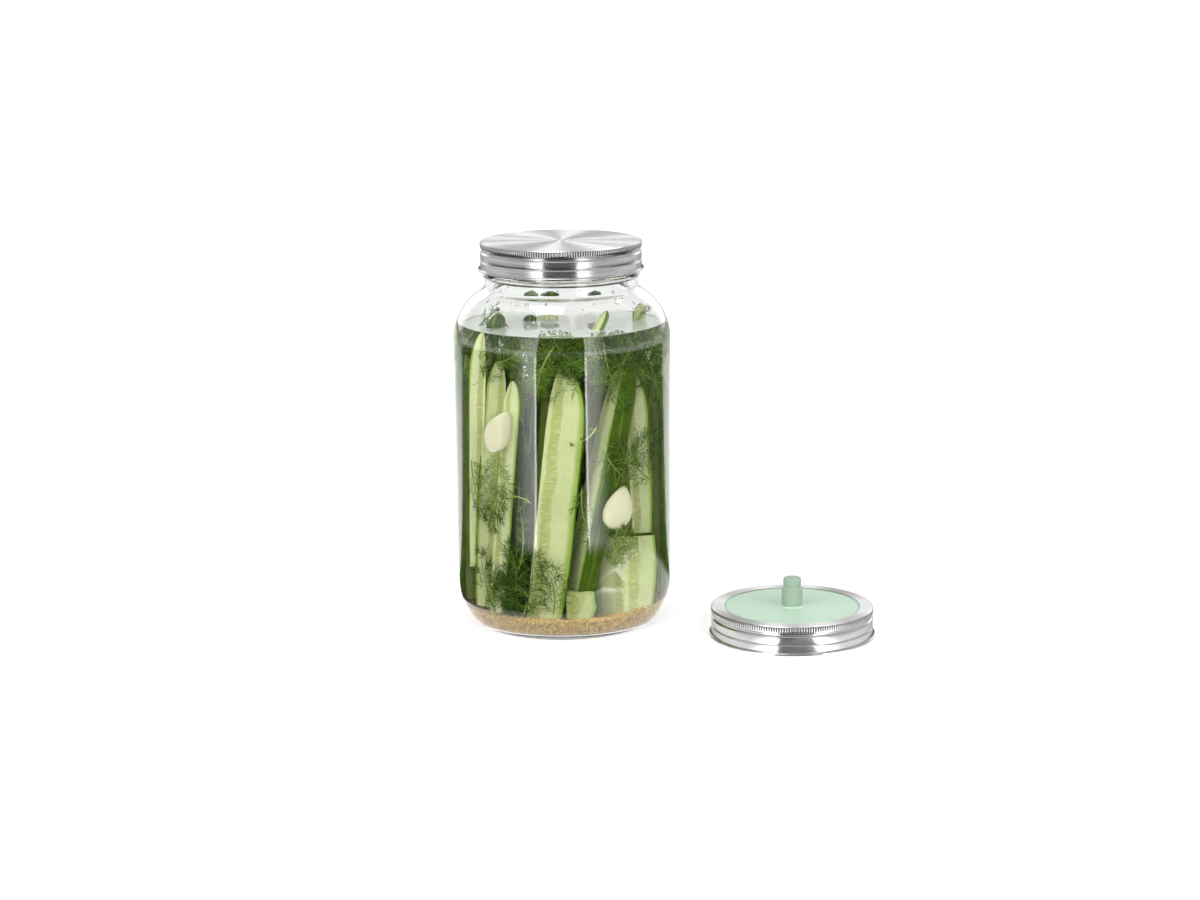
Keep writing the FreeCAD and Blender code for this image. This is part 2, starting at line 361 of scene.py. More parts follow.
def strands(paths: Array, radii: Array, sides: int, tones: Array) -> Shell:
    """Thin tapered tubes: point = path point + radius x (cos a x first normal + sin a x second normal).

    The first normal is square to the path and to one fixed direction, which no path runs along.

    Args:
        paths: n x k x 3 points along each tube.
        radii: n x k radii, 0 at both ends so that each tube is closed.
        sides: sides of each tube.
        tones: tone of each tube.

    Returns:
        One closed shell for all tubes.
    """
    count, steps = radii.shape
    along = unit(np.gradient(paths, axis=1))
    first = unit(np.cross(along, np.array((0.31, 0.87, 0.38))))
    second = np.cross(along, first)
    angle = turns(sides)
    ring = np.cos(angle)[:, None] * first[:, :, None] + np.sin(angle)[:, None] * second[:, :, None]
    points = (paths[:, :, None] + radii[:, :, None, None] * ring).reshape(-1, 3)
    index = np.arange(count * steps * sides).reshape(count, steps, sides)
    index[:, 0] = index[:, 0, :1]
    index[:, -1] = index[:, -1, :1]
    right = np.roll(index, -1, axis=2)
    faces = np.stack((index[:, :-1], right[:, :-1], right[:, 1:], index[:, 1:]), axis=-1).reshape(-1, 4)
    used, faces = np.unique(faces, return_inverse=True)
    faces = faces.reshape(-1, 4)
    tone = np.repeat(tones, steps * sides)[used]
    length = np.tile(np.repeat(np.linspace(0, 1, steps), sides), count)[used]
    uv = np.stack((np.zeros(faces.shape), length[faces]), axis=-1)
    return Shell(points[used], faces, uv, np.zeros(len(faces), int), tone).outward()


def bent(start: Array, way: Array, bend: Array, length: Array, shares: Array) -> Array:
    """Paths of bent threads: point = start + (way x t + bend x t^2) x length, at each share t of the length.

    Args:
        start: n x 3 starts.
        way: n x 3 directions.
        bend: n x 3 bends.
        length: n lengths.
        shares: the k shares at which there are points.

    Returns:
        n x k x 3 points.
    """
    t = shares[None, :, None]
    return start[:, None] + (way[:, None] * t + bend[:, None] * t**2) * length[:, None, None]


# --- Shader nodes ---
class Effect(Enum):
    """A node group that several finishes use, by its name."""

    MOTTLE = "mottle"
    RELIEF = "relief"
    TINTED = "piece_tone"
    PANELS = "panels"


class Graph:
    """A node tree that is being wired."""

    def __init__(self, tree: bpy.types.NodeTree) -> None:
        """Args: tree: the tree that gets the nodes."""
        self.tree = tree

    def add(self, kind: str, inputs: Optional[dict[Any, Any]] = None, **settings: Any) -> bpy.types.Node:
        """Adds a shader node.

        Args:
            kind: the node's type, without the ShaderNode that it starts with.
            inputs: what goes into its sockets, by name or number: another node's socket is linked, a value is set.
            settings: the node's own settings.

        Returns:
            The node.
        """
        node = self.tree.nodes.new(f"ShaderNode{kind}")
        for key, value in settings.items():
            setattr(node, key, value)
        for key, value in (inputs or {}).items():
            if isinstance(value, Socket):
                self.tree.links.new(value, node.inputs[key])
            else:
                node.inputs[key].default_value = value
        return node

    def math(self, operation: str, *values: Any) -> Socket:
        """A Math node's output."""
        return self.add("Math", dict(enumerate(values)), operation=operation).outputs[0]

    def mix(self, factor: Any, first: Any, second: Any) -> Socket:
        """A colour between the first and the second."""
        inputs = {0: factor, 6: first, 7: second}
        return self.add("Mix", inputs, data_type="RGBA").outputs[2]

    def between(self, value: Any, low: float, high: float, first: float = 0, second: float = 1) -> Socket:
        """The value mapped smoothly from low..high to first..second."""
        inputs = {0: value, 1: low, 2: high, 3: first, 4: second}
        return self.add("MapRange", inputs, interpolation_type="SMOOTHSTEP").outputs[0]

    def noise(self, vector: Any, scale: float, detail: float = 2) -> Socket:
        """Soft noise from 0 to 1."""
        inputs = {"Vector": vector, "Scale": scale, "Detail": detail}
        return self.add("TexNoise", inputs).outputs[0]

    def group(self, effect: Effect, **inputs: Any) -> Socket:
        """Places a node group with its own values, and gives its output."""
        tree = bpy.data.node_groups[effect.value]
        return self.add("Group", {key.title(): value for key, value in inputs.items()}, node_tree=tree).outputs[0]

    def blend(self, factor: Any, first: Any, second: Any) -> Socket:
        """A number between the first and the second."""
        return self.add("Mix", {0: factor, 2: first, 3: second}).outputs[0]

    def vector(self, operation: str, *values: Any) -> Socket:
        """A Vector Math node's output: a number for LENGTH and DISTANCE, else a vector."""
        node = self.add("VectorMath", dict(enumerate(values)), operation=operation)
        return node.outputs["Value" if operation in ("LENGTH", "DISTANCE") else "Vector"]

    def split(self, vector: Any) -> Any:
        """The three parts of a vector."""
        return self.add("SeparateXYZ", {0: vector}).outputs

    def looking(self) -> Socket:
        """1 for rays that the camera, a mirror or glass sends out before they meet a matt surface, else 0."""
        path = self.add("LightPath").outputs
        through = self.math("MAXIMUM", path["Is Glossy Ray"], path["Is Transmission Ray"])
        sent = self.math("MAXIMUM", path["Is Camera Ray"], through)
        return self.math("MULTIPLY", sent, self.math("LESS_THAN", path["Diffuse Depth"], 0.5))

    def end(self, output: Socket, kind: str = "OutputMaterial") -> None:
        """Puts a shader on the surface, by an output node of this kind."""
        self.tree.links.new(output, self.add(kind).inputs["Surface"])

    def out(self, kind: str, **inputs: Any) -> Socket:
        """The first output of a node whose inputs are given by name, with _ for a space."""
        return self.add(kind, {key.replace("_", " "): value for key, value in inputs.items()}).outputs[0]

    def coated(self, colour: Socket, roughness: float, gloss: float, normal: Socket) -> Socket:
        """The output of a Principled shader for something that isn't metal or glass."""
        values = {"Base Color": colour, "Roughness": roughness, "Specular IOR Level": gloss, "Normal": normal}
        return self.add("BsdfPrincipled", values).outputs[0]


def linear(red: float, green: float, blue: float) -> Colour:
    """A screen colour of 0 to 255 as the linear colour that renders like it."""
    screen = np.array((red, green, blue)) / 255
    light = np.where(screen <= 0.04045, screen / 12.92, ((screen + 0.055) / 1.055) ** 2.4)
    return (*(float(part) for part in light), 1.0)


def empty_graph(owner: Any) -> Graph:
    """The graph of a new material or world, its first nodes cleared away."""
    owner.use_nodes = True
    owner.node_tree.nodes.clear()
    return Graph(owner.node_tree)


class Effects:
    """The node groups that several finishes use, each made once."""

    def __init__(self) -> None:
        """Makes the groups, each output and input with its kind of socket."""
        colour, vector, number = "NodeSocketColor", "NodeSocketVector", "NodeSocketFloat"
        patchy = {"Colour": colour, "Vector": vector, "Scale": number, "Amount": number}
        bumpy = {"Vector": vector, "Scale": number, "Depth": number}
        lit = {"Vector": vector, **dict.fromkeys(("Left", "Right", "Line", "Panel", "Side"), number)}
        self.make(Effect.MOTTLE, ("Colour", colour), patchy, self._mottle)
        self.make(Effect.RELIEF, ("Normal", vector), bumpy, self._relief)
        self.make(Effect.TINTED, ("Colour", colour), {"Low": colour, "High": colour}, self._tinted)
        self.make(Effect.PANELS, ("Value", number), lit, self._panels)

    @staticmethod
    def make(
        effect: Effect, output: tuple[str, str], inputs: dict[str, str], wire: Callable[[Graph, Any], Socket]
    ) -> None:
        """Makes a shader node group.

        Args:
            effect: which one it is.
            output: name and kind of its output socket.
            inputs: its input sockets, each name with its kind.
            wire: adds nodes to the group's graph, given its input sockets, and gives the socket that is put out.
        """
        tree = bpy.data.node_groups.new(effect.value, "ShaderNodeTree")
        for name, kind in inputs.items():
            tree.interface.new_socket(name=name, in_out="INPUT", socket_type=kind)
        tree.interface.new_socket(name=output[0], in_out="OUTPUT", socket_type=output[1])
        made = wire(Graph(tree), tree.nodes.new("NodeGroupInput").outputs)
        tree.links.new(made, tree.nodes.new("NodeGroupOutput").inputs[0])

    @staticmethod
    def _mottle(graph: Graph, source: Any) -> Socket:
        """Colour made lighter and darker in soft patches: colour x (1 + amount x (noise - 0.5) x 2).

        Args:
            graph: the group's nodes.
            source: its input sockets.

        Returns:
            The colour.
        """
        patches = graph.noise(source["Vector"], source["Scale"], 4)
        swing = graph.math("MULTIPLY_ADD", patches, 2.0, -1.0)
        gain = graph.math("MULTIPLY_ADD", swing, source["Amount"], 1.0)
        return graph.add("VectorMath", {0: source["Colour"], "Scale": gain}, operation="SCALE").outputs[0]

    @staticmethod
    def _relief(graph: Graph, source: Any) -> Socket:
        """A normal roughened by soft bumps of two sizes, the second a quarter as wide and about a third as high.

        Args:
            graph: the group's nodes.
            source: its input sockets.

        Returns:
            The normal.
        """
        coarse = graph.noise(source["Vector"], source["Scale"], 2)
        fine = graph.noise(source["Vector"], graph.math("MULTIPLY", source["Scale"], 4.0), 2)
        height = graph.math("MULTIPLY_ADD", fine, 0.35, coarse)
        return graph.out("Bump", Height=height, Distance=source["Depth"], Strength=1.0)

    @staticmethod
    def _tinted(graph: Graph, source: Any) -> Socket:
        """A colour between two, by the tone that each piece carries in its mesh."""
        tone = graph.add("Attribute", attribute_name="tone").outputs["Fac"]
        return graph.mix(tone, source["Low"], source["High"])

    @staticmethod
    def _panels(graph: Graph, source: Any) -> Socket:
        """Brightness by azimuth from the camera's side: none in the gap, a line at its edge, then a panel that fades.

        Args:
            graph: the group's nodes.
            source: its input sockets: Left and Right are the gap's two ends in degrees, Line is added over the
                panel's first 1.8 degrees, and the panel fades from Panel to Side 2 to 27 degrees past the gap.

        Returns:
            The brightness.
        """
        parts = graph.split(source["Vector"])
        toward = graph.math("MULTIPLY", parts[1], -1.0)
        turned = graph.math("MULTIPLY", graph.math("ARCTAN2", parts[0], toward), 180 / math.pi)
        gap = graph.blend(graph.math("GREATER_THAN", turned, 0.0), source["Left"], source["Right"])
        past = graph.math("SUBTRACT", graph.math("ABSOLUTE", turned), gap)
        panel = graph.blend(graph.between(past, 2.0, 27.0), source["Panel"], source["Side"])
        lit = graph.math("MULTIPLY_ADD", graph.math("LESS_THAN", past, 1.8), source["Line"], panel)
        return graph.math("MULTIPLY", graph.math("GREATER_THAN", past, 0.0), lit)


@dataclass(frozen=True)
class Finish:
    """A material, made of nodes from its own fields."""

    name: str

    def material(self) -> Material:
        """Makes the material.

        Returns:
            The material, with its shader on the surface.
        """
        made = bpy.data.materials.new(self.name)
        graph = empty_graph(made)
        graph.end(self.shader(graph))
        return made

    def shader(self, graph: Graph) -> Socket:
        """Adds the nodes, and gives the shader's output."""
        raise NotImplementedError


@dataclass(frozen=True)
class ClearFinish(Finish):
    """Glass or brine: refracting, and letting lamplight through to what is inside."""

    tint: Colour
    ior: float
    wave: float = 0.0
    wave_scale: float = 20.0
    # Below 1, the rest is matt base colour; on the brine's top that is a painted reflection.
    clear: float = 1.0

    def shader(self, graph: Graph) -> Socket:
        """A glass shader, with a Transparent one put in for rays that look for lamps.

        Args:
            graph: the material's nodes.

        Returns:
            The shader's output.
        """
        waves = {}
        if self.wave:
            place = graph.add("TexCoord").outputs["Object"]
            waves["Normal"] = graph.group(Effect.RELIEF, vector=place, scale=self.wave_scale, depth=self.wave)
        glass = graph.out(
            "BsdfPrincipled",
            Base_Color=self.tint,
            Roughness=0.0,
            Metallic=0.0,
            IOR=self.ior,
            Transmission_Weight=self.clear,
            **waves,
        )
        clear = graph.out("BsdfTransparent", Color=self.tint)
        lamp_ray = graph.add("LightPath").outputs["Is Shadow Ray"]
        return graph.add("MixShader", {0: lamp_ray, 1: glass, 2: clear}).outputs[0]


@dataclass(frozen=True)
class SoftFinish(Finish):
    """A matt or moist surface in two tones, mottled and finely bumped: seeds, garlic, dill and silicone."""

    low: Colour
    high: Colour
    mottle: float
    mottle_scale: float
    roughness: float
    bump: float
    bump_scale: float
    gloss: float = 0.1

    def shader(self, graph: Graph) -> Socket:
        """The piece's tone picks the colour between low and high.

        Args:
            graph: the material's nodes.

        Returns:
            The shader's output.
        """
        place = graph.add("TexCoord").outputs["Object"]
        base = graph.group(Effect.TINTED, low=self.low, high=self.high)
        colour = graph.group(Effect.MOTTLE, colour=base, vector=place, scale=self.mottle_scale, amount=self.mottle)
        normal = graph.group(Effect.RELIEF, vector=place, scale=self.bump_scale, depth=self.bump)
        return graph.coated(colour, self.roughness, self.gloss, normal)


@dataclass(frozen=True)
class FleshFinish(Finish):
    """Cut cucumber: U runs from the core, 0, to the skin, 1, and V along the spear in tenths of a metre."""

    name: str = "pickle_flesh"
    olive: Colour = linear(184, 196, 116)
    pale: Colour = linear(228, 233, 190)
    gel: Colour = linear(184, 192, 118)
    seed: Colour = linear(222, 224, 170)
    under_skin: Colour = linear(160, 186, 88)
    rim: Colour = linear(52, 96, 16)
    seeds_across: float = 3.4
    seeds_along: float = 68.0
    heart: Pair = (0.17, 0.415)
    roughness: float = 0.38
    gloss: float = 0.1

    def shader(self, graph: Graph) -> Socket:
        """A ladder of flat seeds beside the core, fibrous flesh, and green under the skin.

        Args:
            graph: the material's nodes.

        Returns:
            The shader's output.
        """
        coordinates = graph.add("TexCoord").outputs
        place, uv = coordinates["Object"], coordinates["UV"]
        across, along = graph.split(uv)[:2]
        shifted = graph.math("MULTIPLY_ADD", graph.noise(place, 90.0), 0.14, across)
        flesh = graph.group(Effect.TINTED, low=self.olive, high=self.pale)
        fibres = graph.noise(graph.vector("MULTIPLY", uv, (9.0, 7.0, 1.0)), 3.0, 4)
        flesh = graph.mix(graph.between(fibres, 0.4, 0.75, 0, 0.4), flesh, self.olive)
        cell_across = graph.math("MULTIPLY", shifted, self.seeds_across)
        cell_along = graph.math("MULTIPLY", along, self.seeds_along)
        cells_at = graph.out("CombineXYZ", X=cell_across, Y=cell_along)
        cells = graph.add("TexVoronoi", {"Vector": cells_at, "Scale": 1.0, "Randomness": 0.6})
        seed = graph.between(cells.outputs["Distance"], 0.46, 0.2)
        from_core = graph.between(shifted, self.heart[0] - 0.03, self.heart[0] + 0.03)
        to_flesh = graph.between(shifted, self.heart[1] + 0.045, self.heart[1] - 0.045)
        in_heart = graph.math("MULTIPLY", from_core, to_flesh)
        colour = graph.mix(graph.math("MULTIPLY", in_heart, 0.85), flesh, graph.mix(seed, self.gel, self.seed))
        colour = graph.mix(graph.between(across, 0.74, 0.9), colour, self.under_skin)
        colour = graph.mix(graph.between(across, 0.92, 0.99), colour, self.rim)
        colour = graph.group(Effect.MOTTLE, colour=colour, vector=place, scale=60.0, amount=0.16)
        relief = graph.group(Effect.RELIEF, vector=place, scale=260.0, depth=0.0003)
        seeds = graph.math("MULTIPLY", seed, in_heart)
        normal = graph.out("Bump", Height=seeds, Distance=0.0004, Normal=relief)
        return graph.coated(colour, self.roughness, self.gloss, normal)


@dataclass(frozen=True)
class SkinFinish(Finish):
    """Cucumber skin: dark green with paler stripes along it, light freckles and low warts."""

    name: str = "pickle_skin"
    dark: Colour = linear(26, 56, 6)
    light: Colour = linear(82, 110, 18)
    stripe: Colour = linear(126, 150, 56)
    roughness: float = 0.32
    gloss: float = 0.1

    def shader(self, graph: Graph) -> Socket:
        """The stripes are noise drawn out along the spear, and the freckles the middles of small cells.

        Args:
            graph: the material's nodes.

        Returns:
            The shader's output.
        """
        coordinates = graph.add("TexCoord").outputs
        place = coordinates["Object"]
        base = graph.group(Effect.TINTED, low=self.dark, high=self.light)
        streaks = graph.noise(graph.vector("MULTIPLY", coordinates["UV"], (7.0, 2.2, 1.0)), 1.0, 4)
        colour = graph.mix(graph.between(streaks, 0.52, 0.68, 0, 0.75), base, self.stripe)
        freckles = graph.add("TexVoronoi", {"Vector": place, "Scale": 420.0}).outputs["Distance"]
        colour = graph.mix(graph.between(freckles, 0.3, 0.12, 0, 0.55), colour, self.stripe)
        colour = graph.group(Effect.MOTTLE, colour=colour, vector=place, scale=110.0, amount=0.3)
        normal = graph.group(Effect.RELIEF, vector=place, scale=240.0, depth=0.0006)
        return graph.coated(colour, self.roughness, self.gloss, normal)


@dataclass(frozen=True)
class SteelFinish(Finish):
    """Pressed stainless steel, brushed round its axis: U of its map runs once round."""

    name: str = "brushed_steel"
    colour: Colour = linear(212, 212, 211)
    low_roughness: float = 0.18
    high_roughness: float = 0.28
    anisotropy: float = 0.85
    edge: float = 0.5
    teeth: int = 0
    # groove: painted shade, a darker base colour put between the knurl's teeth.
    groove: Colour = linear(96, 96, 95)
    brush_lines: float = 420.0
    brush_depth: float = 0.00002

    def shader(self, graph: Graph) -> Socket:
        """Fine lines round the axis vary the roughness and the bump, and the base colour is darkened between the
        teeth as painted shade in the knurl's grooves.

        Args:
            graph: the material's nodes.

        Returns:
            The shader's output.
        """
        coordinates = graph.add("TexCoord").outputs
        parts = graph.split(coordinates["UV"])
        turn = graph.math("MULTIPLY", parts[0], 2 * math.pi)
        row = graph.math("MULTIPLY", parts[1], self.brush_lines)
        lines_at = graph.out("CombineXYZ", X=graph.math("COSINE", turn), Y=graph.math("SINE", turn), Z=row)
        lines = graph.noise(lines_at, 1.6, 3)
        colour = graph.group(
            Effect.MOTTLE, colour=self.colour, vector=coordinates["Object"], scale=30.0, amount=0.05
        )
        # Painted shade: the base colour darkens towards groove between the teeth.
        if self.teeth:
            tooth = graph.math("COSINE", graph.math("MULTIPLY", turn, float(self.teeth)))
            colour = graph.mix(graph.between(tooth, -0.2, -0.8), colour, self.groove)
        return graph.out(
            "BsdfPrincipled",
            Base_Color=colour,
            Metallic=1.0,
            Roughness=graph.between(lines, 0.25, 0.75, self.low_roughness, self.high_roughness),
            Specular_Tint=(self.edge, self.edge, self.edge, 1),
            Anisotropic=self.anisotropy,
            Anisotropic_Rotation=0.25,
            Tangent=graph.add("Tangent", direction_type="UV_MAP", uv_map="UVMap").outputs[0],
            Normal=graph.out("Bump", Height=lines, Distance=self.brush_depth, Strength=0.6),
        )


@dataclass(frozen=True)
class FloorFinish(Finish):
    """A pale matt floor that also glows: to the camera more the further out it is, and to mirrors and glass less."""

    name: str = "floor"
    colour: Colour = (0.82, 0.82, 0.82, 1)
    near: float = 0.35
    far: float = 2.2
    near_glow: float = 0.45
    far_glow: float = 1.0
    mirror_from: float = 0.6
    mirror_to: float = 1.4
    mirror_near: float = 1.1
    mirror_far: float = 0.15
    through: float = 0.4

    def shader(self, graph: Graph) -> Socket:
        """A Diffuse shader with light of its own for rays that look.

        Args:
            graph: the material's nodes.

        Returns:
            The shader's output.
        """
        distance = graph.vector("LENGTH", graph.add("TexCoord").outputs["Object"])
        path = graph.add("LightPath").outputs
        glow = graph.between(distance, self.near, self.far, self.near_glow, self.far_glow)
        mirrored = graph.between(distance, self.mirror_from, self.mirror_to, self.mirror_near, self.mirror_far)
        glow = graph.blend(path["Is Glossy Ray"], glow, mirrored)
        glow = graph.blend(path["Is Transmission Ray"], glow, self.through)
        lit = graph.out("BsdfDiffuse", Color=self.colour)
        shine = graph.out("Emission", Color=WHITE, Strength=graph.math("MULTIPLY", graph.looking(), glow))
        return graph.add("AddShader", {0: lit, 1: shine}).outputs[0]


@dataclass(frozen=True)
class FlagFinish(Finish):
    """What mirrors and glass see of the floor in front: dark straight ahead, with soft panels to either side.

    Azimuths are in degrees from the camera's side, and are counted about the jar, or near the loose lid about it.
    """

    name: str = "flag"
    lid: Pair = (0.0, 0.0)
    left_gap: float = 27.1
    right_gap: float = 23.3
    lid_gap: float = 17.0
    line: float = 4.0
    panel: float = 2.1
    far_panel: float = 3.3
    near_side: float = 0.03
    far_side: float = 0.85
    dark: float = 0.02
    far_dark: float = 0.29
    start: float = 0.31

    def shader(self, graph: Graph) -> Socket:
        """Light of its own, by azimuth and distance.

        Args:
            graph: the material's nodes.

        Returns:
            The shader's output.
        """
        place = graph.add("TexCoord").outputs["Object"]
        by_lid = graph.between(graph.vector("DISTANCE", place, (*self.lid, 0)), 0.16, 0.12)
        shift = graph.vector("MULTIPLY", (*self.lid, 0), (-1, -1, 1))
        about = graph.vector("MULTIPLY_ADD", shift, by_lid, place)
        distance = graph.vector("LENGTH", place)
        far = graph.math("MAXIMUM", by_lid, graph.between(distance, 1.3, 1.7))
        panels = graph.group(
            Effect.PANELS,
            vector=about,
            left=graph.between(by_lid, 0, 1, self.left_gap, self.lid_gap),
            right=graph.between(by_lid, 0, 1, self.right_gap, self.lid_gap),
            line=graph.between(far, 0, 0.1, self.line, 0),
            panel=graph.between(far, 0, 1, self.panel, self.far_panel),
            side=graph.between(far, 0, 1, self.near_side, self.far_side),
        )
        seen = graph.math("MAXIMUM", by_lid, graph.between(distance, self.start, self.start + 0.05))
        dark = graph.between(far, 0, 1, self.dark, self.far_dark)
        return graph.out("Emission", Color=WHITE, Strength=graph.math("MULTIPLY_ADD", panels, seen, dark))


@dataclass(frozen=True)
class PanelFinish(Finish):
    """A glowing panel that mirrors and glass look through."""

    strength: float

    def shader(self, graph: Graph) -> Socket:
        """An Emission shader, with a Transparent one put in for rays that look."""
        shine = graph.out("Emission", Color=WHITE, Strength=self.strength)
        clear = graph.out("BsdfTransparent", Color=WHITE)
        return graph.add("MixShader", {0: graph.looking(), 1: shine, 2: clear}).outputs[0]


class Finishes:
    """Every material of the jar, made once."""

    def __init__(self) -> None:
        """Makes the materials. A soft one has two colours, then mottle, its scale, roughness, bump and its scale."""
        Effects()

        def made(kind: type[Finish], *fields: Any, **named: Any) -> Material:
            """The material of this kind of finish with these fields."""
            return kind(*fields, **named).material()

        def soft(name: str, low: Sequence[int], high: Sequence[int], *fields: float, **named: float) -> Material:
            """The material of a soft finish between two screen colours."""
            return made(SoftFinish, name, linear(*low), linear(*high), *fields, **named)

        self.glass = made(ClearFinish, "jar_glass", (0.985, 0.995, 0.985, 1), 1.5, 0.00012, 14.0)
        self.brine = made(ClearFinish, "brine", (0.975, 0.98, 0.93, 1), 1.34)
        # Painted reflection: the brine's top has a matt white share, clear=0.45, that stands in for the white
        # surround mirrored in the surface.
        self.surface = made(ClearFinish, "brine_surface", (0.97, 0.98, 0.95, 1), 1.34, clear=0.45)
        self.water = made(ClearFinish, "water_drop", WHITE, 1.33)
        self.flesh = made(FleshFinish)
        self.skin = made(SkinFinish)
        self.garlic = soft("garlic_clove", (222, 214, 172), (244, 240, 214), 0.1, 70, 0.3, 0.0003, 90)
        self.dill = soft("dill_leaf", (36, 62, 12), (112, 142, 44), 0.3, 90, 0.5, 0.0001, 900)
        self.stalk = soft("dill_stalk", (98, 138, 52), (184, 204, 118), 0.2, 80, 0.45, 0.0001, 700)
        self.mustard = soft(
            "mustard_seed", (180, 134, 38), (232, 194, 92), 0.18, 500, 0.35, 0.00008, 1500, gloss=0.4
        )
        # Painted shade: the bed's middle is dark brown so that the gaps between the loose seeds look shaded.
        self.between_seeds = soft("mustard_between", (64, 40, 12), (96, 64, 22), 0.3, 400, 0.6, 0.0002, 900)
        moulded = (0.03, 60, 0.5, 0.00005, 1200)
        self.silicone = soft("silicone", (184, 212, 190), (192, 219, 198), *moulded, gloss=0.5)
        # Painted shade: the valve is the disc's silicone in a darker copy, standing in for the shade on its upright
        # sides.
        self.valve = soft("silicone_valve", (144, 166, 147), (152, 174, 155), *moulded, gloss=0.5)
        self.steel = made(SteelFinish)
        self.spun = made(SteelFinish, "spun_steel", linear(208, 208, 207), 0.42, 0.54, 0.95, 0.85)
        self.knurled = made(SteelFinish, "knurled_steel", teeth=200)
        self.floor = made(FloorFinish)
        self.softboxes = {name: made(PanelFinish, name, 4.0) for name in ("softbox_left", "softbox_right")}


def place(
    shell: Shell,
    name: str,
    finishes: Sequence[Material],
    node: Optional[str] = None,
    slot: Optional[str] = None,
    sharp: float = 40,
) -> bpy.types.Object:
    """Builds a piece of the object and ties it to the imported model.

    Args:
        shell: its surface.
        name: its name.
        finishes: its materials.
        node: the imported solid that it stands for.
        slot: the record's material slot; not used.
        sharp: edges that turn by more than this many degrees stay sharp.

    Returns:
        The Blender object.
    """
    made = shell.build(name, finishes, sharp)
    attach(made, BODY)
    if node:
        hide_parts(node)
    triangles = int((made.data.loops[-1].index + 1) - 2 * len(made.data.polygons))
    LOG.info("%s: %d triangles, %s", name, triangles, f"stands for {node}" if node else "added")
    return made


# --- The glass jar ---
@dataclass
class GlassJar:
    """The jar's glass: a ring foot round a punt, a straight wall, a round shoulder and a threaded neck."""

    body_radius: float
    mouth_height: float
    wall: float = 3.6
    base: float = 5.0
    heel_height: float = 40.0
    heel_width: float = 16.5
    bearing_width: float = 5.0
    punt: float = 4.0
    floor_rise: float = 3.2
    shoulder_start: float = 198.0
    shoulder_radius: float = 40.0
    neck_radius: float = 52.5
    neck_fillet: float = 4.0
    bead_rise: float = 4.6
    bead_height: float = 4.0
    bead_depth: float = 1.2
    rim_round: float = 1.0
    thread_depth: float = 1.3
    thread_pitch: float = 5.0
    thread_turns: float = 1.6
    thread_drop: float = 4.0
    thread_reach: float = 1.6
    heel_points: int = 26
    segments: int = 320

    @property
    def neck_start(self) -> float:
        """Height at which the fillet under the neck ends."""
        reach = self.shoulder_radius + self.neck_fillet
        inward = self.neck_radius + self.neck_fillet - (self.body_radius - self.shoulder_radius)
        return self.shoulder_start + math.sqrt(reach**2 - inward**2)

    @property
    def foot_radius(self) -> float:
        """Outer radius of the ring that the jar stands on."""
        return self.body_radius - self.heel_width

    def side(self, inset: float) -> Array:
        """The wall's outline: heel ellipse, straight wall, shoulder arc and fillet arc.

        Args:
            inset: how far inside the outer face it runs.

        Returns:
            Its points, upwards.
        """
        inner_share = inset / self.wall
        foot = self.foot_radius - inner_share * self.wall / 2
        low = inner_share * self.base
        radius = self.body_radius - inset
        reach = self.shoulder_radius + self.neck_fillet
        sweep = math.degrees(math.asin((self.neck_start - self.shoulder_start) / reach))
        shoulder = (self.body_radius - self.shoulder_radius, self.shoulder_start)
        fillet = (self.neck_radius + self.neck_fillet, self.neck_start)
        shoulder_arc = self.shoulder_radius - inset
        fillet_arc = self.neck_fillet + inset
        return np.concatenate((
            arc_points((foot, self.heel_height), (radius - foot, self.heel_height - low), -90, 0, self.heel_points),
            line_points((radius, self.heel_height), (radius, self.shoulder_start), 12),
            arc_points(shoulder, (shoulder_arc, shoulder_arc), 0, sweep, 20),
            arc_points(fillet, (fillet_arc, fillet_arc), 180 + sweep, 180, 8)[1:],
        ))

    def thread(self, angle: Array, radius: Array, height: Array) -> Array:
        """The neck's screw thread: depth x cos^2 of the distance from a helix, faded in and out at its ends.

        Args:
            angle: angle of each point.
            radius: its radius.
            height: its height.

        Returns:
            How far the glass stands out there.
        """
        start = self.mouth_height - self.thread_drop
        turn = angle / (2 * math.pi)
        best = np.zeros(np.broadcast(angle, height).shape)
        for winding in range(math.ceil(self.thread_turns) + 1):
            along = turn + winding
            away = (height - (start - self.thread_pitch * along)) / self.thread_reach
            ridge = np.where(np.abs(away) < 1, np.cos(away * math.pi / 2) ** 2, 0)
            fade = np.clip(np.minimum(along, self.thread_turns - along) * 8, 0, 1)
            best = np.maximum(best, ridge * fade)
        outside = radius > self.neck_radius - 0.01
        return self.thread_depth * best * outside * (height > start - 14)

    def shell(self) -> Shell:
        """The glass as one closed shell, from its punt out round the foot, over the rim and down the inside."""
        neck, start, mouth = self.neck_radius, self.neck_start, self.mouth_height
        bead_low = start + self.bead_rise
        bead_angle = np.linspace(-1, 1, 9)
        bead = np.column_stack((
            neck + self.bead_depth * np.cos(bead_angle * math.pi / 2),
            bead_low + self.bead_height / 2 * (1 + bead_angle),
        ))
        bore = neck - self.wall
        edge = mouth - self.rim_round
        punt_radius = self.foot_radius - self.bearing_width
        rim = (self.rim_round, self.rim_round)
        profile = np.concatenate((
            dome_points(punt_radius, 0, self.punt, 24),
            line_points((punt_radius, 0), (self.foot_radius, 0), 4),
            self.side(0),
            line_points((neck, start), (neck, bead_low), 2),
            bead,
            line_points((neck, bead_low + self.bead_height), (neck, edge), 44),
            arc_points((neck - self.rim_round, edge), rim, 0, 90, 7),
            arc_points((bore + self.rim_round, edge), rim, 90, 180, 7),
            line_points((bore, edge), (bore, start), 6),
            self.side(self.wall)[::-1],
            dome_points(self.foot_radius - self.wall / 2, self.base, self.base + self.floor_rise, 24)[::-1],
        ))
        return lathe(profile, self.segments, self.thread)

    def inside(self, margin: float) -> Limit:
        """The largest radius that stays this far inside the glass, as a function of height."""
        outline = self.side(self.wall)
        return lambda height: np.interp(height, outline[:, 1], outline[:, 0]) - margin


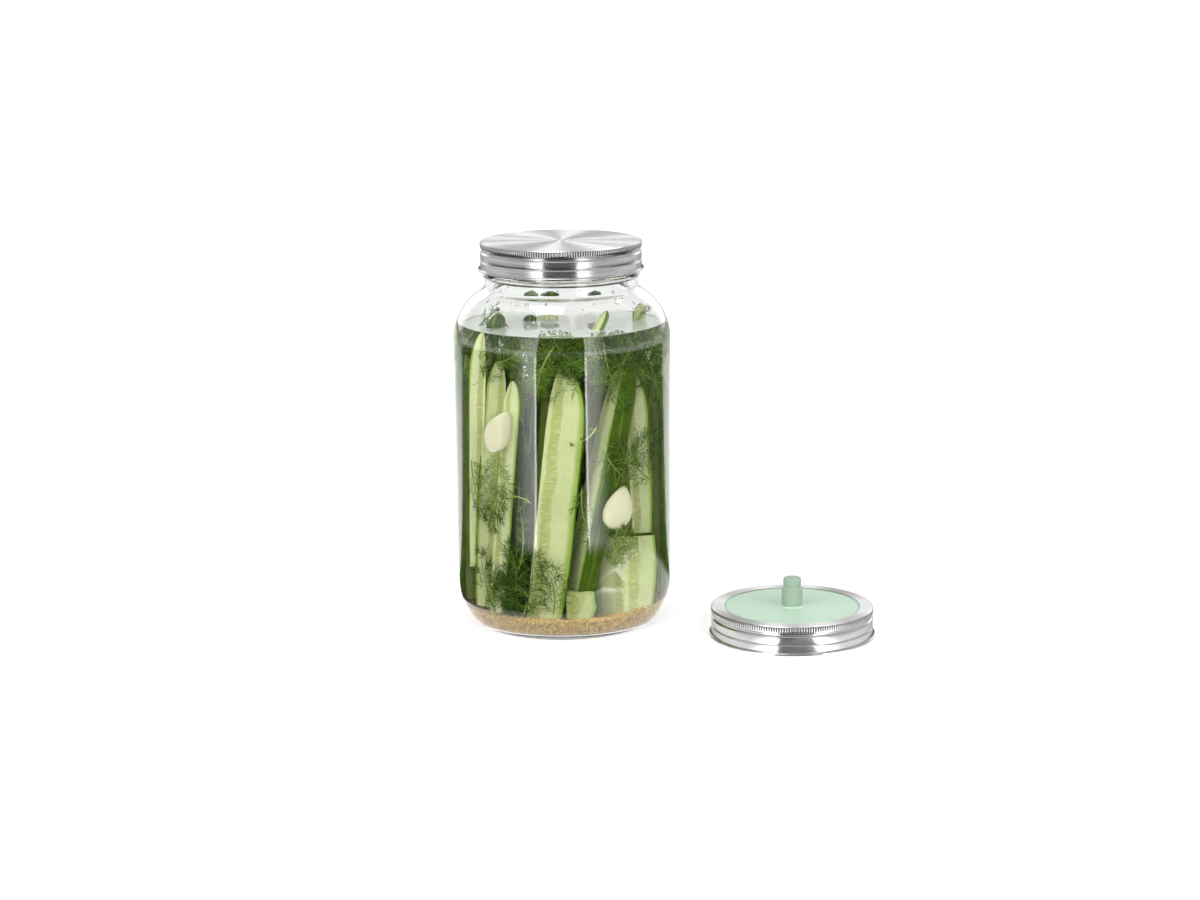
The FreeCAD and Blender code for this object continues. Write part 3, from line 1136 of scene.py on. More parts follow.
# --- What fills it ---
@dataclass
class Brine:
    """The brine, up to its level, with a rim that climbs the glass. It reaches just into the wall."""

    jar: GlassJar
    level: float
    overlap: float = 0.3
    climb: float = 1.3
    climb_reach: float = 1.5
    segments: int = 256

    def shell(self) -> Shell:
        """The brine: floor dome, wall, then z = level + climb x exp(-(wall - r) / reach) in to the axis."""
        jar = self.jar
        side = jar.side(jar.wall - self.overlap)
        rim_height = self.level + self.climb
        wall = side[side[:, 1] < rim_height - 0.3]
        edge = float(np.interp(rim_height, side[:, 1], side[:, 0]))
        touch = edge - self.overlap
        radius = np.concatenate((np.linspace(0, touch - 8, 12), np.linspace(touch - 7.5, touch, 22)))[::-1]
        top = np.column_stack((radius, self.level + self.climb * np.exp((radius - touch) / self.climb_reach)))
        floor = dome_points(wall[0, 0], wall[0, 1], wall[0, 1] + jar.floor_rise, 20)[:-1]
        profile = np.concatenate((floor, wall, [[edge, rim_height]], top))
        on_top = np.arange(len(profile) - 1) >= len(floor) + len(wall)
        return lathe(profile, self.segments, finish=on_top.astype(int))


@dataclass
class MustardBed:
    """The bed of mustard seed on the jar's floor: loose seeds against the glass and on top, round a solid middle
    whose dark colour is painted shade in the gaps between the seeds.

    Seeds are seed_pitch radii apart. Their rows go heel_run up the heel. Their rings are sparser inside full_ring.
    """

    jar: GlassJar
    depth: float = 11.0
    tilt: float = 0.03
    wave: float = 1.5
    wave_length: float = 96.0
    hollow: float = 3.0
    core_margin: float = 1.8
    core_depth: float = 1.5
    rim_radius: float = 64.0
    seed_radius: float = 0.98
    seed_pitch: float = 1.93
    heel_run: float = 18.5
    rings: Pair = (36, 68)
    full_ring: float = 50.0
    random_seed: int = 11

    def top(self, x: Array, y: Array) -> Array:
        """Height of the bed: a tilt, long waves and a hollow where the spears stand.

        Args:
            x: places to the right of the axis.
            y: places behind the axis.

        Returns:
            The height at each place.
        """
        phase = 2 * math.pi / self.wave_length
        ripple = self.wave * np.sin(x * phase + 0.6) * np.cos(y * phase - 0.4)
        reach = (self.jar.body_radius - self.jar.wall) / 2
        return self.jar.base + self.depth + self.tilt * x + ripple - self.hollow * np.exp(-(x**2 + y**2) / reach**2)

    def core(self) -> Shell:
        """The middle of the bed, a little inside the seeds. Its dark brown colour is painted shade, seen in the gaps
        between them.

        Its rows run out over the floor's dome, up inside the heel, whose height is shared between the floor and the
        bed's top near the glass, and in over the top.
        """
        jar, flat, steep = self.jar, 8, 10
        angle = turns(160)
        foot = jar.foot_radius - jar.wall / 2
        rows = (np.linspace(0, foot - 2, flat), np.full(steep, foot - 1), np.linspace(foot, 0, flat))
        radii = np.concatenate(rows)[:, None]
        share = np.concatenate((np.zeros(flat), np.linspace(0.08, 0.92, steep), np.ones(flat)))[:, None]
        low = jar.base + self.core_margin + jar.floor_rise * (1 - (np.minimum(radii, foot) / foot) ** 2)
        read_at = np.where(share < 1, self.rim_radius, radii)
        high = self.top(np.cos(angle) * read_at, np.sin(angle) * read_at) - self.core_depth
        height = low * (1 - share) + high * share
        limit = jar.inside(self.core_margin)(height)
        heel = np.where(share > 0, np.maximum(radii, limit), radii)
        return Shell.grid(polar(np.where(share == 1, radii / foot * limit, heel), angle, height)).closed()

    @staticmethod
    def seed_shape() -> Shell:
        """A seed of unit radius: an octahedron whose faces are halved once and pushed out to the sphere."""
        corners = np.array(((1, 0, 0), (-1, 0, 0), (0, 1, 0), (0, -1, 0), (0, 0, 1), (0, 0, -1)), float)
        triangles = np.array([(x, y, z) for x in (0, 1) for y in (2, 3) for z in (4, 5)])
        a, b, c = (corners[triangles[:, side]] for side in range(3))
        ab, bc, ca = a + b, b + c, c + a
        split = [np.stack(three, axis=1) for three in ((a, ab, ca), (ab, b, bc), (ca, bc, c), (ab, bc, ca))]
        soup = unit(np.concatenate(split).reshape(-1, 3))
        faces = np.arange(len(soup)).reshape(-1, 3)
        first, second, third = (soup[faces[:, side]] for side in range(3))
        inward = np.einsum("ij,ij->i", np.cross(second - first, third - first), first) < 0
        faces[inward] = faces[inward][:, ::-1]
        quads = np.column_stack((faces, faces[:, 2]))
        flat = np.zeros((len(quads), 4, 2))
        return Shell(soup, quads, flat, np.zeros(len(quads), int), np.full(len(soup), 0.5)).welded()

    def seeds(self) -> Shell:
        """The loose seeds: rows up the heel's inside a seed's radius from the glass, and rings over the bed's top.

        Returns:
            One shell that holds every seed, each a little flattened and turned about its place.
        """
        rng = np.random.default_rng(self.random_seed)
        pitch = self.seed_pitch * self.seed_radius
        heel = self.jar.side(self.jar.wall)[:self.jar.heel_points]
        run = np.concatenate(([0], np.cumsum(np.linalg.norm(np.diff(heel, axis=0), axis=1))))
        slope = unit(np.gradient(heel, axis=0))
        normal = np.column_stack((-slope[:, 1], slope[:, 0]))
        places = []
        for layer in range(2):
            away = self.seed_radius * (1.06 + 1.7 * layer)
            for row in np.arange(0.4, self.heel_run, pitch * 0.88):
                radius, height = (np.interp(row, run, part) for part in (heel + normal * away).T)
                count = int(2 * math.pi * radius / pitch / (1 + 0.35 * layer))
                angle = 2 * math.pi * (np.arange(count) + 0.5 * rng.random() + 0.34 * rng.random(count)) / count
                at = polar(radius, angle, height + 0.5 * (rng.random(count) - 0.5))
                places.append(at[at[:, 2] < self.top(at[:, 0], at[:, 1]) - 0.2])
        limit = self.jar.inside(self.seed_radius * 1.1)
        for ring in np.arange(*self.rings, pitch * 0.9):
            count = int(2 * math.pi * ring / pitch * (1 if ring > self.full_ring else 0.72))
            angle = 2 * math.pi * (np.arange(count) + 0.4 * rng.random(count)) / count
            radius = ring + 0.5 * (rng.random(count) - 0.5)
            at = polar(radius, angle, np.zeros(count))
            at[:, 2] = self.top(at[:, 0], at[:, 1]) + 0.9 * (rng.random(count) - 0.5) - 0.2
            places.append(at[radius < limit(at[:, 2])])
        spots = np.concatenate(places)
        count = len(spots)
        size = self.seed_radius * (0.9 + 0.2 * rng.random(count))
        turn = 2 * math.pi * rng.random(count)
        frames = np.zeros((count, 3, 3))
        frames[:, 0, 0] = frames[:, 1, 1] = np.cos(turn) * size
        frames[:, 1, 0] = np.sin(turn) * size
        frames[:, 0, 1] = -frames[:, 1, 0]
        frames[:, 2, 2] = size * (0.86 + 0.1 * rng.random(count))
        LOG.info("%d mustard seeds", count)
        return Shell.scattered(self.seed_shape(), spots, frames, rng.random(count))


class End(Enum):
    """How a spear ends."""

    ROUND = "round"
    CUT = "cut"


class Show(Enum):
    """What a spear turns towards the glass, as the turn of its sector's middle from straight outwards."""

    SKIN = 0.0
    FACE = 118.0
    RIDGE = 180.0


@dataclass
class Spear:
    """A length of cucumber cut along its core, with two cut faces and a back of skin.

    The core line runs from foot to tip. Seen from above, the piece fills a sector of the cucumber that starts at
    the azimuth start. Its ends shrink towards a point at the share heart of the sector's middle.
    """

    foot: Point
    tip: Point
    start: float
    radius: float = 20.0
    sector: float = 60.0
    bow: float = 0.0
    heart: float = 0.4
    taper: float = 1.7
    upper: End = End.ROUND
    tone: float = 0.6

    @classmethod
    def ringed(cls, azimuth: float, show: Show, low: float, high: float, lean: float, **sizes: Any) -> "Spear":
        """A spear that stands against the glass at an azimuth.

        Args:
            azimuth: where it stands, in degrees from +X towards +Y.
            show: what it turns to the glass.
            low: height of its foot.
            high: height of its tip.
            lean: how many degrees further round its tip is than its foot.
            sizes: its other fields, apart from the radius and the sector.

        Returns:
            The spear.
        """
        distance = {Show.SKIN: 68.5 - cls.radius, Show.FACE: 62.5, Show.RIDGE: 67.0}[show]
        foot = spot(distance, math.radians(azimuth - lean / 2), low)
        tip = spot(distance, math.radians(azimuth + lean / 2), high)
        return cls(foot, tip, azimuth + show.value - cls.sector / 2, **sizes)

    def outline(self) -> tuple[Array, Array, Array]:
        """The sector's outline for a cucumber of radius 1, its corners rounded by a running mean along it.

        Returns:
            Places, the U of each column, and which columns of faces are skin. The column where the skin ends is
            given twice, once with the skin's U and once with the flesh's.
        """
        dense, width, columns_each = 200, 6, 15
        share = np.linspace(0, 1, dense, endpoint=False)
        angle = np.radians(self.sector)
        first = np.column_stack((share, np.zeros(dense)))
        arc = np.column_stack((np.cos(angle * share), np.sin(angle * share)))
        second = (1 - share)[:, None] * np.array((math.cos(angle), math.sin(angle)))
        path = np.concatenate((first, arc, second))
        path = np.mean([np.roll(path, shift, axis=0) for shift in range(-width, width + 1)], axis=0)
        spaced = (1 - np.cos(np.linspace(0, math.pi, columns_each))) / 2
        steps = np.round(spaced * dense).astype(int)
        columns = np.concatenate((steps, dense + steps[1:], 2 * dense + steps[:-1]))
        across = np.concatenate((spaced, 1 + spaced[1:], 1 - spaced[:-1]))
        skin = np.zeros(len(columns), bool)
        skin[len(steps) - 1 : 2 * len(steps) - 2] = True
        return path[columns % len(path)], across, skin

    def rows(self, length: float) -> tuple[Array, Array]:
        """Where the outline is placed along the spear.

        A round end follows a quarter ellipse, taper times as long as the radius; a cut end is flat with a soft edge.
        The lower end is always cut.

        Args:
            length: the spear's length.

        Returns:
            Shares of the length, and the outline's scale at each.
        """
        reach = min(self.radius * self.taper / length, 0.42)
        soft = 0.7 / length
        quarter = np.radians(np.linspace(0, 90, 11))
        ends = {
            End.ROUND: (reach * (1 - np.sin(quarter)), np.cos(quarter)),
            End.CUT: (np.array((soft * 1.6, soft * 0.4, 0, 0, 0)), np.array((1, 0.985, 0.95, 0.55, 0))),
        }
        low_share, low_scale = ends[End.CUT]
        high_share, high_scale = ends[self.upper]
        middle = np.linspace(low_share[0], 1 - high_share[0], 30)[1:-1]
        share = np.concatenate((low_share[::-1], middle, 1 - high_share))
        scale = np.concatenate((low_scale[::-1], np.ones(len(middle)), high_scale))
        return share, scale

    def shell(self, number: int) -> Shell:
        """The spear: outline x (radius x scale) about the heart, carried along the bowed core line.

        Args:
            number: which spear it is, which sets the phase of its waves.

        Returns:
            The closed shell, with faces numbered 0 for flesh and 1 for skin.
        """
        foot, tip = np.array(self.foot), np.array(self.tip)
        length = float(np.linalg.norm(tip - foot))
        share, scale = self.rows(length)
        outline, across, skin = self.outline()
        phase = number * 1.7
        along = (share * length / 100)[:, None]
        girth = self.radius * (1 - 0.09 * np.abs(2 * share - 1) ** 2.4) * (1 + 0.018 * np.sin(9 * share + phase))
        sink = np.where(across < 1, np.sin(math.pi * np.clip(across, 0, 1)), 0)
        wave = 0.045 + 0.02 * np.sin(2 * math.pi * (along * 2.3 + phase)) + 0.008 * np.sin(along * 46 + phase)
        warts = 0.012 * np.sin(across * 11 + phase)[None] * np.sin(along * 31 + phase) * (across > 1)
        start, half = math.radians(self.start), math.radians(self.sector / 2)
        inward = np.array((math.cos(half), math.sin(half)))
        heart = self.heart * inward
        local = outline[None] * (1 + warts)[:, :, None] + (wave * sink[None])[:, :, None] * inward
        local = heart + (local - heart) * scale[:, None, None]
        turn = np.array(((math.cos(start), math.sin(start)), (-math.sin(start), math.cos(start))))
        core = foot + (tip - foot) * share[:, None]
        core[:, :2] += self.bow * (4 * share * (1 - share))[:, None] * np.array(spot(1, start + half, 0))[:2]
        points = np.repeat(core[:, None], len(outline), axis=1)
        points[..., :2] += local @ turn * girth[:, None, None]
        u = np.broadcast_to(np.append(across, 0), (len(share), len(across) + 1))
        v = np.broadcast_to(along + 0.37 * number, u.shape)
        return Shell.grid(points, finish=skin.astype(int), tone=self.tone, uv=(u, v)).closed()


class Pickles:
    """The spears as they stand in the jar, from the front round to the back, and the short ends at the bottom."""

    front = (
        Spear((-24.5, -50, 16), (-6.5, -50, 189), -4, 25, heart=0.3, taper=1.9, tone=0.7),
        Spear((-53, -35, 46), (-46, -38, 208), 112, 15, heart=0.3, taper=2.2, tone=1.0),
        Spear((-46, -37, 20), (-32, -37.5, 190), 115, 15, heart=0.5, tone=0.75),
        Spear((-49, -45, 18), (-35, -46, 178), -8, 11, heart=0.5, tone=0.95),
        Spear((-32, -17, 18), (-28, -17, 152), -120, 18, tone=0.2),
        Spear((-11, -18, 30), (-2, -18, 184), 175, 17, tone=0.05),
        Spear((-1, -33, 33), (31, -37, 192), -60, 21.5, bow=-2, heart=0.5, tone=0.8),
        Spear((41, -32, 69), (36, -33, 180), -5, 17, tone=1.0),
        Spear((47, -3, 24), (45, -3, 176), -50, tone=0.6),
        Spear((38, -46, 13), (38, -46, 68), 20, 28, 120, upper=End.CUT, tone=0.7),
        Spear((0.5, -46, 15), (0.5, -46, 33), -3, 19, upper=End.CUT, tone=0.45),
    )
    ring = (
        (18, Show.FACE, 17, 190, 4, 0.8),
        (43, Show.SKIN, 15, 200, -5, 0.4),
        (67, Show.RIDGE, 16, 203, 4, 0.7),
        (92, Show.SKIN, 18, 198, 5, 0.6),
        (114, Show.FACE, 15, 203, -4, 0.9),
        (140, Show.SKIN, 17, 196, 4, 0.3),
        (163, Show.RIDGE, 16, 202, -4, 0.75),
        (188, Show.SKIN, 20, 190, 4, 0.5),
    )
    middle = (
        Spear((6, 2, 16), (10, 4, 188), -40, tone=0.4),
        Spear((-8, 12, 16), (-6, 14, 194), 60, tone=0.5),
        Spear((-30, 4, 16), (-26, 8, 190), 150, 18, tone=0.6),
        Spear((24, 22, 16), (22, 26, 192), 20, 18, tone=0.4),
        Spear((-10, -10, 18), (-12, -4, 176), 150, 16, tone=0.4),
        Spear((14, -14, 60), (17, -10, 205), 190, 15, 70, tone=0.35),
        Spear((-22, -22, 70), (-21, -16, 205), 160, 14, 70, tone=0.2),
        Spear((-40, -12, 60), (-37, -10, 202), 130, 14, 70, tone=0.25),
        Spear((30, -10, 60), (36, -6, 204), 200, 14, 70, tone=0.3),
    )

    def spears(self) -> list[Spear]:
        """Every spear and short end."""
        around = [
            Spear.ringed(azimuth, show, low, high, lean, tone=tone)
            for azimuth, show, low, high, lean, tone in self.ring
        ]
        return [*self.front, *around, *self.middle]

    def build(self, jar: GlassJar, finishes: Finishes) -> None:
        """Builds all spears as one piece, pulled in where they press against the glass.

        Args:
            jar: the glass.
            finishes: the materials.
        """
        shells = [spear.shell(number) for number, spear in enumerate(self.spears())]
        whole = Shell.joined(shells).kept_inside(jar.inside(0.9))
        place(whole, "pickle_spears", (finishes.flesh, finishes.skin), sharp=55)


@dataclass
class Clove:
    """A peeled garlic clove: fat near its root, drawn out to a point, flatter on one side."""

    centre: Point
    lean: float
    turn: float
    length: float = 31.0
    width: float = 18.0
    depth: float = 14.0
    tone: float = 0.6

    def shell(self) -> Shell:
        """The clove: radius = t^0.5 (1 - t)^0.85 along it, times width and depth, its tip bent over by t^3.

        Returns:
            The closed shell, leant over and turned about its middle, in its place.
        """
        t = (1 - np.cos(np.linspace(0, math.pi, 30))) / 2
        angle = turns(40)[None]
        girth = t**0.5 * (1 - t) ** 0.85
        girth = (girth / girth.max())[:, None]
        flat = 1 - 0.28 * np.maximum(0, np.sin(angle)) ** 2
        keel = 1 + 0.07 * np.cos(3 * angle + 0.6)
        x = girth * self.width / 2 * np.cos(angle) * keel + 1.8 * t[:, None] ** 3
        y = girth * self.depth / 2 * np.sin(angle) * keel * flat
        z = (t[:, None] - 0.5) * self.length + 0 * angle
        points = np.stack((x, y, z), axis=-1)
        lean, turn = math.radians(self.lean), math.radians(self.turn)
        tilt = np.array(((math.cos(lean), 0, math.sin(lean)), (0, 1, 0), (-math.sin(lean), 0, math.cos(lean))))
        spin = np.array((spot(1, turn, 0), spot(1, turn + math.pi / 2, 0), (0, 0, 1))).T
        return Shell.grid(points @ (spin @ tilt).T + np.array(self.centre), tone=self.tone).closed()


class Garlic:
    """The cloves between the spears: two at the front, others round the sides and back."""

    cloves = (
        Clove((-42.5, -51, 145), 25, 8, 31, 19.5, tone=0.8),
        Clove((34.5, -54, 92), 12, 20, 31, 20.5, tone=0.8),
        Clove((57, 24, 58), -18, 112, 27, 16),
        Clove((-18, 62, 150), 20, 197, 29, 17),
        Clove((-61, 10, 96), -12, 262, 28, 16),
        Clove((30, 57, 112), 15, 152, 26, 15),
    )

    def build(self, jar: GlassJar, finishes: Finishes) -> None:
        """Builds all cloves as one piece."""
        whole = Shell.joined([clove.shell() for clove in self.cloves]).kept_inside(jar.inside(0.9))
        place(whole, "garlic_cloves", (finishes.garlic,))


@dataclass
class Frond:
    """A dill frond: a bowed stem with opposite branches that carry pairs of thread-like leaves, in millimetres."""

    base: Point
    tip: Point
    width: float
    pairs: int = 9
    bow: float = 3.0
    leaf: float = 8.0
    tone: float = 0.5

    def parts(self, seed: int) -> tuple[Shell, Shell]:
        """The frond's stems and its leaves.

        Branch i starts at share t of the stem and points along stem x cos 48 + side x sin 48. Its length follows
        sin(pi x (0.2 + 0.75 t)). Leaves leave it in pairs, shorter towards its end.

        Args:
            seed: sets what is random about this frond.

        Returns:
            The stems, and the leaves.
        """
        rng = np.random.default_rng(1000 + seed)
        base, tip = np.array(self.base, float), np.array(self.tip, float)
        axis = unit(tip - base)
        side = unit(np.cross(axis, unit(np.array((*(base + tip)[:2], 0.0)))))
        normal = np.cross(side, axis)
        bow = side * self.bow * rng.choice((-1, 1))

        def stem_at(share: Array) -> Array:
            """Place on the stem at each share of its length."""
            return base + (tip - base) * share[:, None] + bow * (4 * share * (1 - share))[:, None]

        def tapered(radius: float, taper: float, shares: Array) -> Array:
            """Radii from radius to radius x (1 - taper), closed at both ends."""
            radii = radius * (1 - taper * shares)
            radii[[0, -1]] = 0
            return radii

        steps = np.linspace(0, 1, 9)
        share = np.repeat(np.linspace(0.12, 0.97, self.pairs), 2)
        count = len(share)
        hand = np.tile((-1.0, 1.0), self.pairs)
        share = share + 0.02 * rng.standard_normal(count)
        angle = np.radians(48 + 9 * rng.standard_normal(count))[:, None]
        lift = normal * (0.35 * rng.standard_normal(count) - 0.1)[:, None]
        direction = unit(axis * np.cos(angle) + hand[:, None] * side * np.sin(angle) + lift)
        spread = np.sin(math.pi * (0.2 + 0.75 * np.clip(share, 0, 1)))
        reach = self.width / 2 * spread * (0.75 + 0.5 * rng.random(count))
        start = stem_at(share)
        run = np.linspace(0, 1, 5)
        droop = rng.standard_normal((count, 3)) * 0.12
        branch = bent(start, direction, droop, reach, run)
        stems = Shell.joined([
            strands(stem_at(steps)[None], tapered(0.62, 0.75, steps)[None], 6, np.full(1, self.tone)),
            strands(branch, np.tile(tapered(0.3, 0.6, run), (count, 1)), 4, np.full(count, self.tone * 0.7)),
        ])
        where = np.linspace(0.25, 1.0, 6)
        at = np.repeat(bent(start, direction, droop, reach, where).reshape(-1, 3), 2, axis=0)
        heading = np.repeat(direction, 2 * len(where), axis=0)
        hands = np.tile((-1.0, 1.0), count * len(where))
        angle = np.radians(32 + 14 * rng.standard_normal(len(at)))
        way = heading * np.cos(angle)[:, None] + np.cross(heading, normal) * (hands * np.sin(angle))[:, None]
        way = unit(way + 0.2 * rng.standard_normal((len(at), 3)))
        size = self.leaf * np.tile(np.repeat(1.05 - 0.45 * where, 2), count) * (0.6 + 0.6 * rng.random(len(at)))
        bend = rng.standard_normal((len(at), 3)) * 0.22
        leaf = bent(at, way, bend, size, np.array((0, 0.35, 0.7, 1.0)))
        leaf_radius = np.array((0, 0.19, 0.16, 0)) * (0.8 + 0.4 * rng.random(len(at)))[:, None]
        tones = np.clip(self.tone + 0.28 * rng.standard_normal(len(at)), 0, 1)
        return stems, strands(leaf, leaf_radius, 3, tones)


class Dill:
    """The dill in the jar: fronds laid against the glass at the front, others between the spears all round.

    A front frond has its base, tip, width, pairs of branches and tone, and the length of its leaves where it isn't 8.
    """

    front = (
        ((-42, -54, 138), (-50, -48, 84), 34, 11, 0.4),
        ((-60, -34, 126), (-54, -45, 86), 24, 8, 0.3),
        ((-36, -54, 112), (-46, -50, 76), 22, 7, 0.45),
        ((-16, -58, 18), (-46, -50, 44), 30, 10, 0.1),
        ((-30, -56, 12), (-20, -58, 60), 28, 10, 0.15),
        ((-44, -50, 14), (-54, -38, 58), 26, 9, 0.2),
        ((-8, -60, 18), (-12, -62, 54), 22, 8, 0.25),
        ((-38, -46, 14), (-30, -50, 54), 30, 10, 0.1),
        ((-24, -48, 14), (-34, -48, 52), 30, 10, 0.05),
        ((-22, -60, 30), (-38, -54, 36), 22, 8, 0.2),
        ((-32, -56, 34), (-36, -54, 66), 24, 8, 0.2),
        ((-50, -44, 36), (-34, -54, 24), 24, 8, 0.1),
        ((-24, -52, 178), (2, -56, 204), 26, 10, 0.5),
        ((20, -56, 184), (-6, -54, 206), 24, 10, 0.35),
        ((-4, -60, 204), (-16, -59, 172), 16, 8, 0.7),
        ((-10, -44, 180), (22, -42, 206), 34, 10, 0.2),
        ((-44, -46, 190), (-20, -56, 206), 26, 8, 0.3),
        ((-30, -40, 160), (-20, -42, 204), 30, 9, 0.25),
        ((28, -54, 168), (58, -34, 198), 32, 11, 0.25),
        ((60, -30, 172), (36, -52, 206), 30, 10, 0.2),
        ((26, -56, 206), (40, -52, 160), 28, 9, 0.35),
        ((46, -40, 204), (62, -26, 160), 28, 9, 0.25),
        ((34, -56, 122), (60, -36, 138), 30, 10, 0.25),
        ((60, -34, 104), (36, -54, 134), 28, 9, 0.35),
        ((24, -62, 140), (42, -54, 110), 20, 6, 0.6),
        ((26, -62, 52), (42, -54, 82), 22, 6, 0.55, 6),
        ((50, -48, 56), (28, -60, 80), 20, 6, 0.5, 6),
        ((36, -57, 84), (36, -57, 54), 22, 6, 0.6, 6),
        ((12, -63, 110), (18, -62, 70), 16, 6, 0.3, 6),
        ((-30, -56, 48), (-28, -56, 92), 12, 6, 0.7, 4),
        ((22, -62, 150), (6, -63, 138), 8, 3, 1.0, 3),
        ((-20, -60, 96), (-40, -56, 100), 8, 3, 1.0, 3),
    )
    random_seed = 5
    around = 16
    around_radius = 65
    thicket_seed = 23
    thicket_count = 64

    def thicket(self) -> list[Frond]:
        """Fronds that lie crosswise in the brine over the spears, at random places of a ring under the surface.

        Returns:
            The fronds, without those shorter than 16 mm.
        """
        rng = np.random.default_rng(self.thicket_seed)
        made = []
        for _ in range(self.thicket_count):
            azimuth, swing = 2 * math.pi * rng.random(), 1.1 * (rng.random() - 0.5)
            near, far = 46 + 18 * rng.random(), 30 + 34 * rng.random()
            low = 172 + 26 * rng.random()
            rise = 14 * (rng.random() - 0.2)
            base, tip = spot(near, azimuth, low), spot(far, azimuth + swing, min(low + rise, 205))
            if math.dist(base, tip) > 16:
                made.append(Frond(base, tip, 26 + 10 * rng.random(), 8, tone=0.15 + 0.6 * rng.random()))
        return made

    def fronds(self) -> list[Frond]:
        """The front fronds, then others at even steps round the sides and back, at random heights.

        Returns:
            The fronds.
        """
        rng = np.random.default_rng(self.random_seed)
        made = [
            Frond(base, tip, width, pairs, tone=tone, leaf=leaf[0] if leaf else 8.0)
            for base, tip, width, pairs, tone, *leaf in self.front
        ]
        for step in range(self.around):
            azimuth = math.radians(5 + 190 * step / (self.around - 1))
            low = 20 + 140 * rng.random()
            rise = 28 + 18 * rng.random()
            swing = math.radians(24 * (rng.random() - 0.5))
            base = spot(self.around_radius, azimuth, low)
            tip = spot(self.around_radius, azimuth + swing, low + rise)
            made.append(Frond(base, tip, 22 + 8 * rng.random(), 8, tone=0.2 + 0.3 * rng.random()))
        return made

    def build(self, jar: GlassJar, brine_level: float, finishes: Finishes) -> None:
        """Builds the stems as one piece, and the leaves as one piece among the spears and one over them.

        Args:
            jar: the glass.
            brine_level: height of the brine.
            finishes: the materials.
        """
        among = [frond.parts(number) for number, frond in enumerate(self.fronds())]
        over = [frond.parts(100 + number) for number, frond in enumerate(self.thicket())]
        limit = jar.inside(0.8)

        def gathered(shells: list[Shell]) -> Shell:
            """The shells as one, kept off the glass and under the brine's surface."""
            whole = Shell.joined(shells).kept_inside(limit)
            whole.points[:, 2] = np.minimum(whole.points[:, 2], brine_level - 0.4 - 0.05 * (whole.tone - 0.5))
            return whole

        place(gathered([stem for stem, _ in among + over]), "dill_stems", (finishes.stalk,), sharp=80)
        place(gathered([leaf for _, leaf in among]), "dill_leaves", (finishes.dill,), sharp=80)
        place(gathered([leaf for _, leaf in over]), "dill_leaves_top", (finishes.dill,), sharp=80)


@dataclass
class Floating:
    """What shows above the brine: tips and chips of cucumber at the surface, dill on it, and drops on the glass."""

    level: float
    drop_count: int = 90
    random_seed: int = 8

    def chips(self) -> Shell:
        """Tips that stand out of the brine, and thick chips afloat and stuck to the back of the shoulder.

        Returns:
            All as one shell, which crosses the surface.
        """
        level = self.level
        tips = (
            Spear((-50, -14, level - 8), (-45, -12, level + 9), 250, 9, 110, heart=0.5, tone=0.3),
            Spear((18, -31, level - 5), (26, -27, level + 12), -50, 8, 100, heart=0.5, tone=0.9),
            Spear((54, 10, level - 8), (56, 13, level + 11), 60, 7, 90, heart=0.5, tone=0.1),
            Spear((-22, 14, level - 2), (-21, 14, level + 4.5), 210, 5.5, 110, heart=0.5, tone=0.2),
            Spear((-11, 17, level - 2), (-10, 17, level + 3), 25, 9, 125, heart=0.5, tone=0.9),
            Spear((-22, 58, level + 8.5), (-21, 59, level + 14.5), 220, 8, 90, heart=0.5, tone=0.1),
            Spear((-9, 61, level + 9), (-8, 61, level + 13.5), 210, 8, 120, heart=0.5, tone=0.5),
            Spear((23, 57, level + 8.5), (24, 57, level + 14.5), 230, 7.5, 90, heart=0.5, tone=0.1),
        )
        return Shell.joined([tip.shell(40 + number) for number, tip in enumerate(tips)])

    def sprigs(self) -> tuple[Shell, Shell]:
        """Small fronds on the surface.

        Returns:
            Their stems, and their leaves.
        """
        level = self.level
        fronds = (
            Frond((-56, -14, level), (-44, -2, level + 9), 16, 6, 1, 4, 0.2),
            Frond((-34, -20, level), (-46, -30, level + 1), 14, 5, 1, 3.5, 0.2),
            Frond((48, 2, level), (60, 12, level + 7), 14, 5, 1, 4, 0.3),
            Frond((10, -58, level - 0.5), (-14, -62, level + 0.2), 9, 7, 1, 3, 0.2),
            Frond((16, -60, level - 0.5), (40, -50, level + 0.2), 9, 7, 1, 3, 0.2),
        )
        parts = [frond.parts(200 + number) for number, frond in enumerate(fronds)]
        return Shell.joined([stem for stem, _ in parts]), Shell.joined([leaf for _, leaf in parts])

    def drops(self, jar: GlassJar) -> Shell:
        """Drops on the inside of the glass above the brine, flattened against it.

        Args:
            jar: the glass.

        Returns:
            The drops, 0.4 times as deep as they are wide, and 1.25 times as high.
        """
        rng = np.random.default_rng(self.random_seed)
        count = self.drop_count
        inside = jar.inside(0.0)
        angle = 2 * math.pi * rng.random(count)
        height = self.level + 4 + 24 * rng.random(count) ** 1.4
        tilt = np.arctan(inside(height + 0.5) - inside(height - 0.5))
        size = 0.5 + 0.9 * rng.random(count) ** 2
        out = polar(np.cos(tilt), angle, -np.sin(tilt))
        round_axis = polar(np.ones(count), angle + math.pi / 2, np.zeros(count))
        frames = np.stack((round_axis, np.cross(out, round_axis) * 1.25, out * 0.4), axis=-1) * size[:, None, None]
        places = polar(inside(height), angle, height)
        return Shell.scattered(MustardBed.seed_shape(), places, frames, rng.random(count))

    def build(self, jar: GlassJar, finishes: Finishes) -> None:
        """Builds the chips, the sprigs and the drops.

        Args:
            jar: the glass.
            finishes: the materials.
        """
        limit = jar.inside(0.6)
        stems, leaves = self.sprigs()
        place(self.chips().kept_inside(limit), "pickle_chips", (finishes.flesh, finishes.skin), sharp=55)
        place(stems.kept_inside(limit), "floating_dill_stems", (finishes.stalk,), sharp=80)
        place(leaves.kept_inside(limit), "floating_dill_leaves", (finishes.dill,), sharp=80)
        place(self.drops(jar), "water_drops", (finishes.water,), sharp=180)


